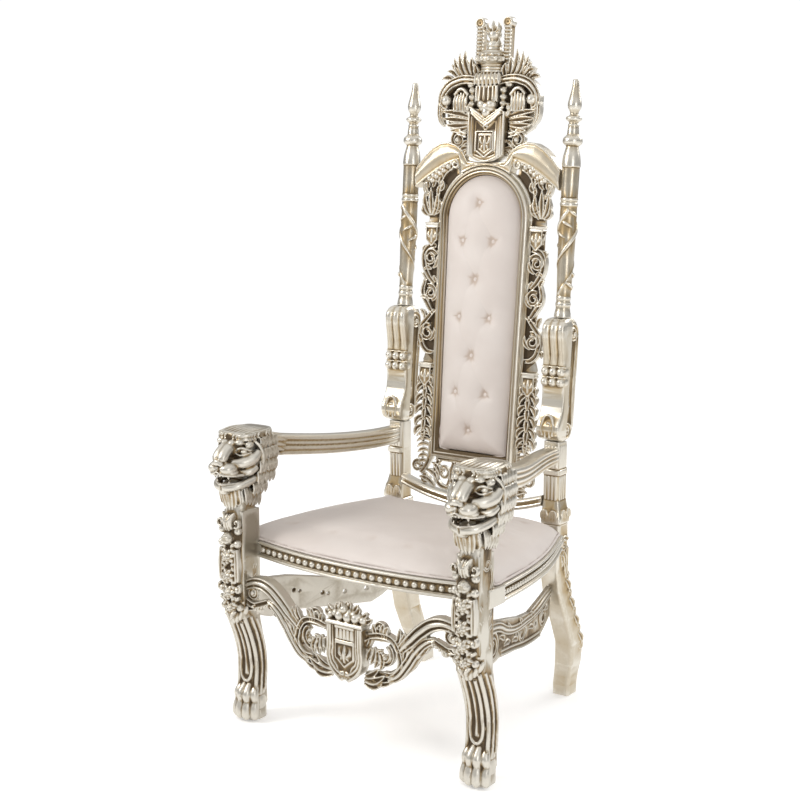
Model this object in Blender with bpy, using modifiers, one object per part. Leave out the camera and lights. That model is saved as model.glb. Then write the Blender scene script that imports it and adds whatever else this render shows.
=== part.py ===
"""A carved lion throne, in metres, +Z up, front facing -Y, standing on z = 0.

Depths are measured from the front paws and heights from the floor. The pieces of the
back lean, so they are modelled upright in the frame of a tilted empty.
Left and right are those of someone looking at the front of the chair.
"""
import math

import bmesh
import bpy
from mathutils import Matrix

# Clearance between neighbouring pieces
GAP = 0.0003

# Front legs: the axis, the block that the seat joins, and the heights along it
LEG_X = 0.365
LEG_HALF = 0.034
LEG_BACK = 0.050
BLOCK_FROM = 0.27
BLOCK_TO = 0.600
CORNER_BACK = 0.088
PAW_HALF = 0.040
PAW_HEIGHT = 0.085
SHANK_HALF = 0.031
HEAD_HEIGHT = 0.705
HEAD_HALF = 0.056
ARM_JOINT = 0.112
HEAD_FRONT = -0.082

# Rear legs: the straight block and column above the rake
REAR_X = 0.255
REAR_Y = 0.590
REAR_HALF = 0.030
COLUMN_HALF = 0.025
COLLAR_FLARE = 0.015
FOOT_X = 0.244
FOOT_Y = 0.690
FOOT_HALF = 0.026
RAKE_BULGE = 0.030

# Seat frame
RAIL_TOP = 0.4997
RAIL_HEIGHT = 0.045
RAIL_DEPTH = 0.045
FRONT_RAIL_END = 0.040
FRONT_BOW = 0.042
SIDE_FRONT_X = 0.403
SIDE_BOW = 0.026
SIDE_BACK_X = 0.300
BACK_RAIL_DEPTH = 0.030
BEAD_PITCH = 0.028
BEAD_RADIUS = 0.0058

# Seat cushion
CUSHION_THICK = 0.022
CUSHION_CROWN = 0.060
CUSHION_INSET = 0.012
CUSHION_NOTCH = 0.009

# Armrests
ARM_X = 0.355
ARM_FRONT_TOP = 0.778
ARM_BACK_TOP = 0.735
ARM_WIDTH = 0.056
ARM_HEIGHT = 0.060

# Aprons
APRON_THICK = 0.030
APRON_TOP = 0.405
SHIELD_HALF = 0.055
SHIELD_TOP = 0.356
SHIELD_BOTTOM = 0.197
SHIELD_THICK = 0.050
SIDE_APRON_THICK = 0.022
BACK_APRON_HEIGHT = 0.060

# Lean of the back, about a line just above the seat
LEAN = 0.0818
PIVOT_Y = 0.5744
PIVOT_Z = 0.600

# Arched frame of the back
FRAME_FOOT = 0.660
FRAME_SPRING = 1.330
FRAME_HALF_TOP = 0.1415
FRAME_HALF_FOOT = 0.1345
FRAME_RISE = 0.143
FRAME_WIDTH = 0.024
FRAME_THICK = 0.040
PANEL_THICK = 0.008
PAD_CROWN = 0.040
BUTTON_RADIUS = 0.009
BUTTON_THICK = 0.005
BUTTON_SPREAD = 0.048
BUTTONS_OVER_SPRING = 0.0435
BUTTONS_OVER_FOOT = 0.089

# Pierced bands, lower rail and top rail
FRET_OUTER = 0.196
FRET_THICK = 0.024
LOWER_RAIL_END = 0.582
LOWER_RAIL_SAG = 0.040
LOWER_RAIL_HEIGHT = 0.030
LOWER_RAIL_THICK = 0.030
RAIL_END_OVER_SPRING = 0.080
TOP_RAIL_END_HEIGHT = 0.055
TOP_RAIL_APEX_X = 0.125
RAIL_APEX_OVER_SPRING = 0.208
TOP_RAIL_THICK = 0.042

# Brackets, posts and crest
CONSOLE_BOTTOM = 0.747
CONSOLE_TOP = 1.078
CONSOLE_HALF = 0.037
CONSOLE_DEPTH = 0.050
POST_OVER_SPRING = 0.371
POST_RADIUS = 0.025
POST_RING = 0.0268
CREST_OVER_SPRING = 0.152
CREST_HEIGHT = 0.389
CREST_HALF = 0.160

# Heights that follow the arch
TOP_RAIL_END = FRAME_SPRING + RAIL_END_OVER_SPRING
TOP_RAIL_APEX = FRAME_SPRING + RAIL_APEX_OVER_SPRING
POST_TIP = FRAME_SPRING + POST_OVER_SPRING
CREST_BOTTOM = FRAME_SPRING + CREST_OVER_SPRING

# Finishes: colour, roughness and metallic share
LEAF_FINISH = ((0.62, 0.55, 0.43), 0.36, 0.75)
CLOTH_FINISH = ((0.80, 0.73, 0.70), 0.60, 0.0)


def clear_scene():
    for thing in list(bpy.data.objects):
        bpy.data.objects.remove(thing, do_unlink=True)


def new_collection(name):
    group = bpy.data.collections.new(name)
    bpy.context.scene.collection.children.link(group)
    return group


def finish_material(name, finish):
    colour, roughness, metallic = finish
    surface = bpy.data.materials.new(name)
    surface.use_nodes = True
    shader = surface.node_tree.nodes["Principled BSDF"]
    shader.inputs["Base Color"].default_value = (*colour, 1.0)
    shader.inputs["Roughness"].default_value = roughness
    shader.inputs["Metallic"].default_value = metallic
    surface.diffuse_color = (*colour, 1.0)
    return surface


def put(name, mesh, finish, parent):
    """One finished piece, with its own material."""
    piece = bpy.data.objects.new(name, mesh)
    mesh.materials.clear()
    mesh.materials.append(finish_material(name + "_finish", finish))
    mesh.shade_smooth()
    mesh.set_sharp_from_angle(angle=math.radians(35))
    PARTS.objects.link(piece)
    piece.parent = parent
    return piece


def evaluated_mesh(thing):
    """The mesh of an object after its modifiers; the object is removed."""
    graph = bpy.context.evaluated_depsgraph_get()
    mesh = bpy.data.meshes.new_from_object(thing.evaluated_get(graph), depsgraph=graph)
    bpy.data.objects.remove(thing, do_unlink=True)
    return mesh


def loose(mesh_or_curve):
    thing = bpy.data.objects.new("work", mesh_or_curve)
    bpy.context.scene.collection.objects.link(thing)
    return thing


def from_bmesh(bm):
    mesh = bpy.data.meshes.new("shape")
    bm.to_mesh(mesh)
    bm.free()
    return mesh


def joined(meshes):
    bm = bmesh.new()
    for mesh in meshes:
        bm.from_mesh(mesh)
    return from_bmesh(bm)


def ball(centre, radii, around=10, rings=6):
    bm = bmesh.new()
    bmesh.ops.create_uvsphere(bm, u_segments=around, v_segments=rings, radius=1.0)
    bmesh.ops.scale(bm, vec=radii, verts=bm.verts)
    bmesh.ops.translate(bm, vec=centre, verts=bm.verts)
    return from_bmesh(bm)


def box(low, high):
    bm = bmesh.new()
    bmesh.ops.create_cube(bm, size=1.0)
    size = [b - a for a, b in zip(low, high)]
    middle = [(a + b) / 2 for a, b in zip(low, high)]
    bmesh.ops.scale(bm, vec=size, verts=bm.verts)
    bmesh.ops.translate(bm, vec=middle, verts=bm.verts)
    return from_bmesh(bm)


def mirrored(mesh):
    """The piece for the other side, reflected in x = 0."""
    bm = bmesh.new()
    bm.from_mesh(mesh)
    bmesh.ops.scale(bm, vec=(-1, 1, 1), verts=bm.verts)
    bmesh.ops.reverse_faces(bm, faces=bm.faces)
    return from_bmesh(bm)


def both_sides(mesh):
    return joined([mesh, mirrored(mesh)])


def loft(sections):
    """A closed body through rings of equal length, bottom ring first."""
    bm = bmesh.new()
    rings = []
    for section in sections:
        rings.append([bm.verts.new(point) for point in section])
    count = len(rings[0])
    for lower, upper in zip(rings, rings[1:]):
        for i in range(count):
            j = (i + 1) % count
            bm.faces.new((lower[i], lower[j], upper[j], upper[i]))
    bm.faces.new(list(reversed(rings[0])))
    bm.faces.new(rings[-1])
    bmesh.ops.recalc_face_normals(bm, faces=bm.faces)
    return from_bmesh(bm)


def strokes(paths, flat=1.0, offset=0.0):
    """Tapered carved strokes lying in the x-z plane.

    Each path is a list of (x, z, radius); flat squeezes the strokes front to back.
    """
    curve = bpy.data.curves.new("stroke", "CURVE")
    curve.dimensions = "3D"
    curve.bevel_depth = 1.0
    curve.bevel_resolution = 1
    curve.resolution_u = 4
    curve.use_fill_caps = True
    for path in paths:
        spline = curve.splines.new("BEZIER")
        spline.bezier_points.add(len(path) - 1)
        for knot, (x, z, radius) in zip(spline.bezier_points, path):
            knot.co = (x, 0.0, z)
            knot.radius = radius
            knot.handle_left_type = "AUTO"
            knot.handle_right_type = "AUTO"
    mesh = evaluated_mesh(loose(curve))
    mesh.transform(Matrix.Diagonal((1.0, flat, 1.0, 1.0)))
    mesh.transform(Matrix.Translation((0.0, offset, 0.0)))
    return mesh


def slab(outline, front, back, holes=()):
    """A flat outline of (x, z) points, from depth front to depth back."""
    curve = bpy.data.curves.new("outline", "CURVE")
    curve.dimensions = "2D"
    curve.fill_mode = "BOTH"
    curve.extrude = (back - front) / 2
    for loop in (outline, *holes):
        spline = curve.splines.new("POLY")
        spline.points.add(len(loop) - 1)
        spline.use_cyclic_u = True
        for knot, (x, z) in zip(spline.points, loop):
            knot.co = (x, z, 0.0, 1.0)
    mesh = evaluated_mesh(loose(curve))
    mesh.transform(Matrix.Rotation(math.pi / 2, 4, "X"))
    mesh.transform(Matrix.Translation((0.0, (front + back) / 2, 0.0)))
    bm = bmesh.new()
    bm.from_mesh(mesh)
    bmesh.ops.remove_doubles(bm, verts=bm.verts, dist=0.00001)
    bmesh.ops.recalc_face_normals(bm, faces=bm.faces)
    return from_bmesh(bm)


def modified(mesh, kind, **settings):
    thing = loose(mesh)
    modifier = thing.modifiers.new(kind, kind)
    for key, value in settings.items():
        setattr(modifier, key, value)
    return evaluated_mesh(thing)


def fused(meshes, voxel, triangles, alike=False):
    """Overlapping shapes grown into one carved body of about so many triangles.

    With alike, both sides of x = 0 come out the same.
    """
    skin = modified(joined(meshes), "REMESH", mode="VOXEL", voxel_size=voxel)
    if alike:
        skin = modified(skin, "MIRROR", use_axis=(True, False, False), use_bisect_axis=(True, False, False),
                        merge_threshold=0.00001)
    skin = modified(skin, "TRIANGULATE")
    ratio = min(1.0, triangles / len(skin.polygons))
    return modified(skin, "DECIMATE", ratio=ratio, use_symmetry=alike, symmetry_axis="X")


def combined(mesh, other, operation):
    """An exact boolean; the second shape stays in the file as a wire cutter."""
    cutter = bpy.data.objects.new("cutter", other)
    cutter.hide_render = True
    cutter.display_type = "WIRE"
    CUTTERS.objects.link(cutter)
    return modified(mesh, "BOOLEAN", object=cutter, operation=operation, solver="EXACT")


def up(height):
    """Height above the floor as a distance up the leaning back."""
    return (height - PIVOT_Z) / math.cos(LEAN)


def arc(centre, radius, start, end, steps):
    """Points of an arc in the x-z plane, angles in degrees."""
    points = []
    for i in range(steps + 1):
        angle = math.radians(start + (end - start) * i / steps)
        points.append((centre[0] + radius * math.cos(angle), centre[1] + radius * math.sin(angle)))
    return points


def scroll(centre, radius, start, turns, thick, steps=7):
    """A volute that winds inwards from its outer end; negative turns wind clockwise."""
    path = []
    for i in range(steps + 1):
        share = i / steps
        angle = math.radians(start) + turns * 2 * math.pi * share
        reach = radius * (1 - 0.72 * share)
        x = centre[0] + reach * math.cos(angle)
        z = centre[1] + reach * math.sin(angle)
        path.append((x, z, thick * (1 - 0.35 * share)))
    return path


def leaf(root, tip, width, bend=0.0):
    """A pointed leaf stroke from root to tip, bowed sideways by bend."""
    (x0, z0), (x1, z1) = root, tip
    mid_x = (x0 + x1) / 2 - bend * (z1 - z0)
    mid_z = (z0 + z1) / 2 + bend * (x1 - x0)
    return [(x0, z0, width * 0.7), (mid_x, mid_z, width), (x1, z1, width * 0.35)]


def superellipse(centre, half_x, half_y, z, count=12, power=0.7):
    points = []
    for i in range(count):
        angle = 2 * math.pi * (i + 0.5) / count
        c = math.cos(angle)
        s = math.sin(angle)
        x = math.copysign(abs(c) ** power, c)
        y = math.copysign(abs(s) ** power, s)
        points.append((centre[0] + half_x * x, centre[1] + half_y * y, z))
    return points


# Front legs with their lion heads

def paw(x):
    shapes = [ball((x, 0.050, PAW_HEIGHT * 0.45), (PAW_HALF, 0.046, PAW_HEIGHT * 0.55))]
    shapes.append(ball((x, 0.052, PAW_HEIGHT * 0.90), (PAW_HALF * 0.88, 0.042, PAW_HEIGHT * 0.42)))
    toes = 4
    for i in range(toes):
        side = (i - (toes - 1) / 2) / ((toes - 1) / 2)
        toe_x = x + side * PAW_HALF * 0.78
        toe_y = 0.022 + 0.010 * side * side
        shapes.append(ball((toe_x, toe_y, 0.026), (PAW_HALF * 0.30, 0.026, 0.030)))
        shapes.append(ball((toe_x, toe_y + 0.014, 0.052), (PAW_HALF * 0.27, 0.024, 0.024)))
    return shapes


def shank(x):
    """Cabriole body of the leg: (height, depth of the axis, half width, half depth)."""
    stations = (
        (0.050, 0.052, SHANK_HALF * 1.06, 0.036),
        (0.110, 0.056, SHANK_HALF, 0.032),
        (0.170, 0.056, SHANK_HALF, 0.031),
        (0.230, 0.044, SHANK_HALF * 1.06, 0.033),
        (0.290, 0.024, SHANK_HALF * 1.14, 0.038),
        (0.340, 0.010, LEG_HALF * 1.12, 0.044),
        (0.400, 0.004, LEG_HALF * 1.12, 0.046),
        (0.500, 0.004, LEG_HALF * 1.06, 0.043),
        (BLOCK_TO, 0.012, LEG_HALF * 1.02, 0.038),
        (HEAD_HEIGHT - 0.065, 0.026, LEG_HALF * 1.02, 0.040),
    )
    return loft([superellipse((x, y), a, b, z) for z, y, a, b in stations])


def shank_flutes(x):
    """The raised ribs between the flutes of the shank, and the petal cuff over them."""
    shapes = []
    for side in (-1.0, 0.0, 1.0):
        rib = []
        for z, y in ((0.085, 0.020), (0.130, 0.026), (0.180, 0.024), (0.230, 0.012), (0.280, -0.010)):
            rib.append((x + side * SHANK_HALF * 0.82, y, z))
        shapes += [ball(point, (0.0062, 0.0062, 0.030), 6, 4) for point in rib]
    petals = 5
    for i in range(petals):
        side = (i - (petals - 1) / 2) / ((petals - 1) / 2)
        centre = (x + side * LEG_HALF * 0.85, -0.030 + 0.014 * side * side, 0.292)
        shapes.append(ball(centre, (0.010, 0.010, 0.022), 8, 5))
    return shapes


def leg_flowers(x):
    """Column of rosettes down the front of the block, and berries beside it."""
    shapes = []
    flowers = 5
    for i in range(flowers):
        z = BLOCK_FROM + 0.052 + i * (BLOCK_TO - BLOCK_FROM - 0.07) / (flowers - 1)
        shapes.append(ball((x - 0.010, -0.040, z), (0.017, 0.012, 0.022), 8, 5))
        shapes.append(ball((x + 0.020, -0.036, z + 0.012), (0.012, 0.011, 0.015), 8, 5))
        shapes.append(ball((x - 0.030, -0.024, z + 0.020), (0.011, 0.012, 0.014), 8, 5))
    return shapes


def lion_head(x):
    """Skull, muzzle, brow, cheeks, jaw and the locks of the mane."""
    z = HEAD_HEIGHT
    w = HEAD_HALF
    shapes = [
        ball((x, 0.034, z + 0.012), (w * 0.98, 0.066, 0.070), 14, 9),
        ball((x, -0.034, z - 0.006), (w * 0.62, 0.042, 0.026), 12, 8),
        ball((x, -0.066, z + 0.006), (w * 0.30, 0.016, 0.013), 8, 6),
        ball((x, -0.040, z + 0.020), (w * 0.28, 0.036, 0.020), 8, 6),
        ball((x, -0.028, z - 0.056), (w * 0.54, 0.036, 0.013), 10, 6),
        ball((x, 0.010, z - 0.066), (w * 0.60, 0.034, 0.034), 10, 6),
        ball((x, 0.000, z - 0.086), (w * 0.40, 0.026, 0.026), 8, 6),
    ]
    for side in (-1, 1):
        shapes.append(ball((x + side * w * 0.42, -0.026, z + 0.034), (w * 0.32, 0.020, 0.011), 8, 5))
        shapes.append(ball((x + side * w * 0.70, -0.006, z - 0.004), (w * 0.30, 0.034, 0.022), 8, 6))
        shapes.append(ball((x + side * w * 0.30, -0.050, z - 0.010), (w * 0.30, 0.026, 0.018), 8, 6))
    locks = 14
    for i in range(locks):
        angle = math.radians(-62 + i * (304 / (locks - 1)))
        reach_x = w * 0.98 * math.cos(angle)
        reach_z = 0.072 * math.sin(angle)
        centre = (x + reach_x, 0.042, z + 0.006 + reach_z)
        shapes.append(ball(centre, (0.016, 0.040, 0.017), 8, 5))
    return shapes


def mouth_cut(x):
    return ball((x, -0.052, HEAD_HEIGHT - 0.036), (HEAD_HALF * 0.56, 0.036, 0.0085), 10, 6)


def leg_back_cutter():
    """Everything behind the leg: flat faces for the rails, apron and arm to meet."""
    low = RAIL_TOP - RAIL_HEIGHT
    far = 0.25
    outline = [(LEG_BACK, BLOCK_FROM), (LEG_BACK, low), (CORNER_BACK, low), (CORNER_BACK, RAIL_TOP),
               (LEG_BACK, RAIL_TOP), (LEG_BACK, BLOCK_TO), (ARM_JOINT, BLOCK_TO + 0.030), (ARM_JOINT, 0.90),
               (far, 0.90), (far, BLOCK_FROM)]
    cutter = slab(outline, LEG_X - 0.12, LEG_X + 0.12)
    cutter.transform(Matrix.Rotation(-math.pi / 2, 4, "Z"))
    cutter.transform(Matrix.Diagonal((1.0, -1.0, 1.0, 1.0)))
    cutter.flip_normals()
    return cutter


def front_leg():
    x = LEG_X
    inner = LEG_X - LEG_HALF
    low = RAIL_TOP - RAIL_HEIGHT
    blocks = [
        box((inner - 0.004, -0.022, BLOCK_FROM + 0.02), (x + LEG_HALF * 0.8, LEG_BACK + 0.004, BLOCK_TO - 0.02)),
        box((inner - 0.004, 0.02, low), (SIDE_FRONT_X, CORNER_BACK + 0.004, RAIL_TOP)),
        box((ARM_X - ARM_WIDTH / 2, 0.05, min(HEAD_HEIGHT, ARM_FRONT_TOP - ARM_HEIGHT)),
            (ARM_X + ARM_WIDTH / 2, ARM_JOINT + 0.004, ARM_FRONT_TOP)),
    ]
    body = paw(x) + [shank(x)] + shank_flutes(x) + leg_flowers(x) + lion_head(x) + blocks
    leg = fused(body, 0.0042, 760)
    leg = combined(leg, mouth_cut(x), "DIFFERENCE")
    leg = combined(leg, box((inner - 0.08, -0.10, BLOCK_FROM), (inner, 0.14, BLOCK_TO)), "DIFFERENCE")
    leg = combined(leg, leg_back_cutter(), "DIFFERENCE")
    return combined(leg, box((inner - 0.08, -0.12, -0.05), (x + 0.08, 0.16, 0.0)), "DIFFERENCE")


# Rear legs

def rect(x0, x1, y0, y1, z, corner=0.006, slope=0.0):
    """Chamfered rectangle; slope tips it to meet the leaning back."""
    c = corner
    points = ((x0 + c, y0), (x1 - c, y0), (x1, y0 + c), (x1, y1 - c),
              (x1 - c, y1), (x0 + c, y1), (x0, y1 - c), (x0, y0 + c))
    middle = (y0 + y1) / 2
    return [(x, y, z - slope * (y - middle)) for x, y in points]


def rear_leg():
    def square(x, y, half, z, **extra):
        return rect(x - half, x + half, y - half * 1.12, y + half * 1.12, z, **extra)

    column_x0 = REAR_X - COLUMN_HALF
    column_x1 = REAR_X + COLUMN_HALF
    front = REAR_Y - COLUMN_HALF
    back = REAR_Y + COLUMN_HALF
    drop = FOOT_Y - REAR_Y
    block = (REAR_X - REAR_HALF, REAR_X + REAR_HALF, REAR_Y - REAR_HALF, REAR_Y + REAR_HALF)
    sections = [
        square(FOOT_X, FOOT_Y, FOOT_HALF, 0.0),
        square(FOOT_X, FOOT_Y, FOOT_HALF, 0.035),
        square(FOOT_X + RAKE_BULGE * 0.6, FOOT_Y - drop * 0.18, FOOT_HALF * 1.08, 0.100),
        square(FOOT_X + RAKE_BULGE, FOOT_Y - drop * 0.36, FOOT_HALF * 1.14, 0.170),
        square(FOOT_X + RAKE_BULGE * 0.8, FOOT_Y - drop * 0.64, FOOT_HALF * 1.12, 0.250),
        square(REAR_X + RAKE_BULGE * 0.1, FOOT_Y - drop * 0.90, FOOT_HALF * 1.10, 0.330),
        rect(*block, 0.400),
        rect(*block, 0.518),
        rect(column_x0, column_x1, front, back, 0.522),
    ]
    flare = COLLAR_FLARE
    for share, z in ((1.0, 0.526), (0.9, 0.540), (0.45, 0.562), (0.0, 0.584)):
        grow = flare * share
        sections.append(rect(column_x0, column_x1 + grow, front - grow, back, z))
    head = up(CONSOLE_BOTTOM)
    top_z = PIVOT_Z + head * math.cos(LEAN) - math.tan(LEAN) * (REAR_Y - PIVOT_Y - head * math.sin(LEAN))
    top_z -= GAP
    sections += [
        rect(column_x0, column_x1, front, back, 0.656),
        rect(column_x0, column_x1 + 0.004, front - 0.004, back, 0.660),
        rect(column_x0, column_x1 + 0.004, front - 0.004, back, 0.668),
        rect(column_x0, column_x1, front, back, 0.672),
        rect(column_x0, column_x1, front, back, top_z, slope=math.tan(LEAN)),
    ]
    return loft(sections)


# Seat frame, cushion and arms

def front_edge(x):
    """Depth of the front rail's face, bowed forward in the middle."""
    share = x / (LEG_X - LEG_HALF)
    return FRONT_RAIL_END - FRONT_BOW * (1 - share * share)


def side_edge(y):
    """Distance of the side rail's face from the middle of the seat."""
    start = CORNER_BACK
    end = REAR_Y - REAR_HALF
    share = (y - start) / (end - start)
    straight = SIDE_FRONT_X + (SIDE_BACK_X - SIDE_FRONT_X) * share
    return straight + SIDE_BOW * math.sin(math.pi * min(max(share, 0.0), 1.0))


def rail_profile():
    """Moulded face of a seat rail: (distance behind its front, height)."""
    top = RAIL_TOP
    low = RAIL_TOP - RAIL_HEIGHT
    bed = RAIL_HEIGHT * 0.2
    return ((RAIL_DEPTH, top), (0.004, top), (0.0, top - 0.006), (0.006, top - bed),
            (0.006, low + bed * 1.4), (0.0, low + bed), (0.0, low + 0.003),
            (0.006, low), (RAIL_DEPTH, low))


def front_rail():
    end = LEG_X - LEG_HALF - GAP
    steps = 10
    sections = []
    for i in range(steps + 1):
        x = -end + 2 * end * i / steps
        sections.append([(x, front_edge(x) + d, z) for d, z in rail_profile()])
    rail = loft(sections)
    beads = []
    count = int(2 * end / BEAD_PITCH)
    for i in range(count):
        x = (i - (count - 1) / 2) * BEAD_PITCH
        centre = (x, front_edge(x) + 0.006, RAIL_TOP - RAIL_HEIGHT * 0.45)
        beads.append(ball(centre, (BEAD_RADIUS,) * 3, 4, 2))
    return combined(rail, joined(beads), "UNION")


def side_rail():
    start = CORNER_BACK + GAP
    end = REAR_Y - REAR_HALF - GAP
    steps = 9
    sections = []
    for i in range(steps + 1):
        y = start + (end - start) * i / steps
        sections.append([(side_edge(y) - d, y, z) for d, z in rail_profile()])
    return loft(sections)


def back_rail():
    end = REAR_X - REAR_HALF - GAP
    low = RAIL_TOP - RAIL_HEIGHT
    return box((-end, REAR_Y - BACK_RAIL_DEPTH / 2, low), (end, REAR_Y + BACK_RAIL_DEPTH / 2, RAIL_TOP))


def seat_plan():
    """Half outline of the cushion, front to back, inside the rails and round the legs."""
    leg = LEG_X - LEG_HALF - CUSHION_NOTCH
    behind = LEG_BACK + CUSHION_NOTCH
    back = REAR_Y - REAR_HALF - CUSHION_NOTCH
    points = [(leg * i / 5, front_edge(leg * i / 5) + CUSHION_INSET) for i in range(6)]
    first = behind + 0.006
    for i in range(8):
        y = first + (back - first) * i / 7
        points.append((side_edge(y) - CUSHION_INSET, y))
    points.append((0.12, back))
    return points


def seat_cushion():
    half = seat_plan()
    outline = half + [(-x, y) for x, y in reversed(half) if x > 0]
    middle_y = (FRONT_RAIL_END + REAR_Y) / 2
    floor = RAIL_TOP + GAP
    crown = CUSHION_CROWN - CUSHION_THICK
    sections = []
    for scale, z in ((1.0, floor), (1.0, floor + CUSHION_THICK), (0.93, floor + CUSHION_THICK + crown * 0.45),
                     (0.72, floor + CUSHION_THICK + crown * 0.85), (0.40, floor + CUSHION_CROWN)):
        ring = []
        for x, y in outline:
            ring.append((x * scale, middle_y + (y - middle_y) * scale, z))
        sections.append(ring)
    return loft(sections)


def armrest():
    """A reeded arm that runs back and inwards from the lion's mane to the column."""
    start = (ARM_X, ARM_JOINT + GAP, ARM_FRONT_TOP)
    end = (REAR_X + 0.004, REAR_Y - COLUMN_HALF - GAP, ARM_BACK_TOP)
    steps = 8
    sections = []
    for i in range(steps + 1):
        share = i / steps
        ease = share * share * (3 - 2 * share)
        x = start[0] + (end[0] - start[0]) * ease
        y = start[1] + (end[1] - start[1]) * share
        top = start[2] + (end[2] - start[2]) * share - 0.012 * math.sin(math.pi * share)
        half = (ARM_WIDTH - 0.010 * share) / 2
        deep = ARM_HEIGHT - 0.012 * share
        profile = ((-0.72, 0.0), (0.72, 0.0), (1.0, -0.22), (0.86, -0.42), (1.0, -0.62), (0.6, -1.0),
                   (-0.6, -1.0), (-1.0, -0.62), (-0.86, -0.42), (-1.0, -0.22))
        sections.append([(x + half * a, y, top + deep * b) for a, b in profile])
    return loft(sections)


# Aprons under the seat

def apron_front():
    end = LEG_X - LEG_HALF
    arm = [
        [(end + 0.01, APRON_TOP - 0.012, 0.013), (0.295, APRON_TOP - 0.004, 0.015), (0.250, 0.392, 0.018),
         (0.210, 0.358, 0.018), (0.175, 0.325, 0.015), (0.150, 0.300, 0.012)],
        [(end + 0.01, 0.335, 0.011), (0.290, 0.340, 0.010), (0.255, 0.352, 0.010), (0.225, 0.340, 0.012),
         (0.195, 0.305, 0.013), (0.165, 0.262, 0.013), (0.130, 0.228, 0.012), (0.085, 0.212, 0.009)],
        [(end + 0.01, 0.360, 0.012), (0.308, 0.362, 0.012), (0.284, 0.384, 0.011)],
        scroll((0.105, 0.285), 0.045, 70, -0.95, 0.011),
        [(0.150, 0.300, 0.011), (0.120, 0.335, 0.011), (0.080, 0.330, 0.011), (0.045, 0.310, 0.010)],
        leaf((0.135, 0.315), (0.150, 0.362), 0.012, 0.2),
        leaf((0.120, 0.320), (0.112, 0.365), 0.013, 0.1),
        leaf((0.100, 0.320), (0.080, 0.360), 0.012, -0.1),
        leaf((0.190, 0.300), (0.218, 0.306), 0.011),
        [(0.150, 0.300, 0.009), (0.150, 0.262, 0.010), (0.120, 0.240, 0.010)],
        [(0.050, 0.225, 0.011), (0.085, 0.232, 0.014), (0.120, 0.232, 0.010)],
        [(0.040, 0.270, 0.009), (0.065, 0.262, 0.009), (0.085, 0.280, 0.009)],
    ]
    carving = both_sides(strokes(arm, flat=1.0))
    half = SHIELD_HALF
    low = SHIELD_BOTTOM
    shield = [(-half, SHIELD_TOP), (-half, low + 0.055), (-half * 0.55, low + 0.014), (0.0, low),
              (half * 0.55, low + 0.014), (half, low + 0.055), (half, SHIELD_TOP)]
    front = -SHIELD_THICK / 2
    shapes = [carving, slab(shield, front + 0.006, APRON_THICK / 2)]
    inner = [(x * 0.62, low + (z - low) * 0.66 + 0.030) for x, z in shield]
    shapes.append(slab(inner, front - 0.002, 0.0))
    shapes.append(box((-half - 0.005, front - 0.002, SHIELD_TOP - 0.012),
                      (half + 0.005, APRON_THICK / 2, SHIELD_TOP)))
    fruits = 6
    for i in range(fruits):
        side = (i - (fruits - 1) / 2) / ((fruits - 1) / 2)
        lift = 0.016 * (1 - side * side)
        shapes.append(ball((side * half, -0.004, SHIELD_TOP + 0.010 + lift), (0.016, 0.018, 0.014), 8, 6))
    apron = fused(shapes, 0.0034, 740, alike=True)
    for side in (-1, 1):
        low_x, high_x = sorted((side * (end - GAP), side * (end + 0.06)))
        apron = combined(apron, box((low_x, -0.06, 0.1), (high_x, 0.06, 0.5)), "DIFFERENCE")
    return apron


def side_apron():
    """Modelled along x as if straight, then turned to run from leg to leg."""
    start = (LEG_X - 0.006, LEG_BACK)
    end = (REAR_X + 0.006, REAR_Y - REAR_HALF)
    length = math.hypot(end[0] - start[0], end[1] - start[1])

    def along(share, z):
        return (length * share, z)

    outline = [along(-0.04, 0.385), along(0.10, 0.388), along(0.22, 0.381), along(0.38, 0.360),
               along(0.53, 0.340), along(0.68, 0.328), along(0.84, 0.338), along(1.04, 0.356),
               along(1.04, 0.270), along(0.90, 0.238), along(0.82, 0.226), along(0.68, 0.236),
               along(0.53, 0.248), along(0.38, 0.260), along(0.24, 0.272), along(0.10, 0.268),
               along(-0.04, 0.296)]
    holes = []
    for share, z, radius in ((0.30, 0.312, 0.013), (0.45, 0.292, 0.010), (0.62, 0.284, 0.011), (0.78, 0.276, 0.013)):
        centre = along(share, z)
        holes.append(list(reversed(arc(centre, radius, 0, 315, 7))))
    half = SIDE_APRON_THICK / 2
    board = slab(outline, -half * 0.3, half, holes)
    relief = [
        [(length * s, z, r) for s, z, r in ((-0.03, 0.365, 0.012), (0.12, 0.368, 0.014), (0.25, 0.352, 0.014),
                                            (0.36, 0.318, 0.012), (0.48, 0.312, 0.011), (0.62, 0.312, 0.012),
                                            (0.78, 0.310, 0.012), (0.92, 0.322, 0.012), (1.03, 0.332, 0.012))],
        scroll(along(0.17, 0.306), 0.034, 120, -1.1, 0.010),
        [(length * s, z, r) for s, z, r in ((0.30, 0.278, 0.008), (0.50, 0.262, 0.010), (0.68, 0.250, 0.011),
                                            (0.83, 0.246, 0.012), (0.93, 0.268, 0.010), (1.03, 0.292, 0.010))],
        leaf(along(0.45, 0.315), along(0.40, 0.356), 0.010),
        leaf(along(0.62, 0.312), along(0.58, 0.340), 0.010),
        leaf(along(0.80, 0.315), along(0.75, 0.338), 0.010),
    ]
    apron = fused([board, strokes(relief, flat=0.8, offset=-half * 0.2)], 0.0034, 330)
    angle = math.atan2(end[1] - start[1], end[0] - start[0])
    apron.transform(Matrix.Rotation(angle, 4, "Z"))
    apron.transform(Matrix.Translation((start[0], start[1], 0.0)))
    # Square ends against the flat faces of the two legs
    front = box((0.0, -0.1, 0.0), (0.6, LEG_BACK + GAP, 0.6))
    back = box((0.0, end[1] - GAP, 0.0), (0.6, end[1] + 0.2, 0.6))
    return combined(combined(apron, front, "DIFFERENCE"), back, "DIFFERENCE")


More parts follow.
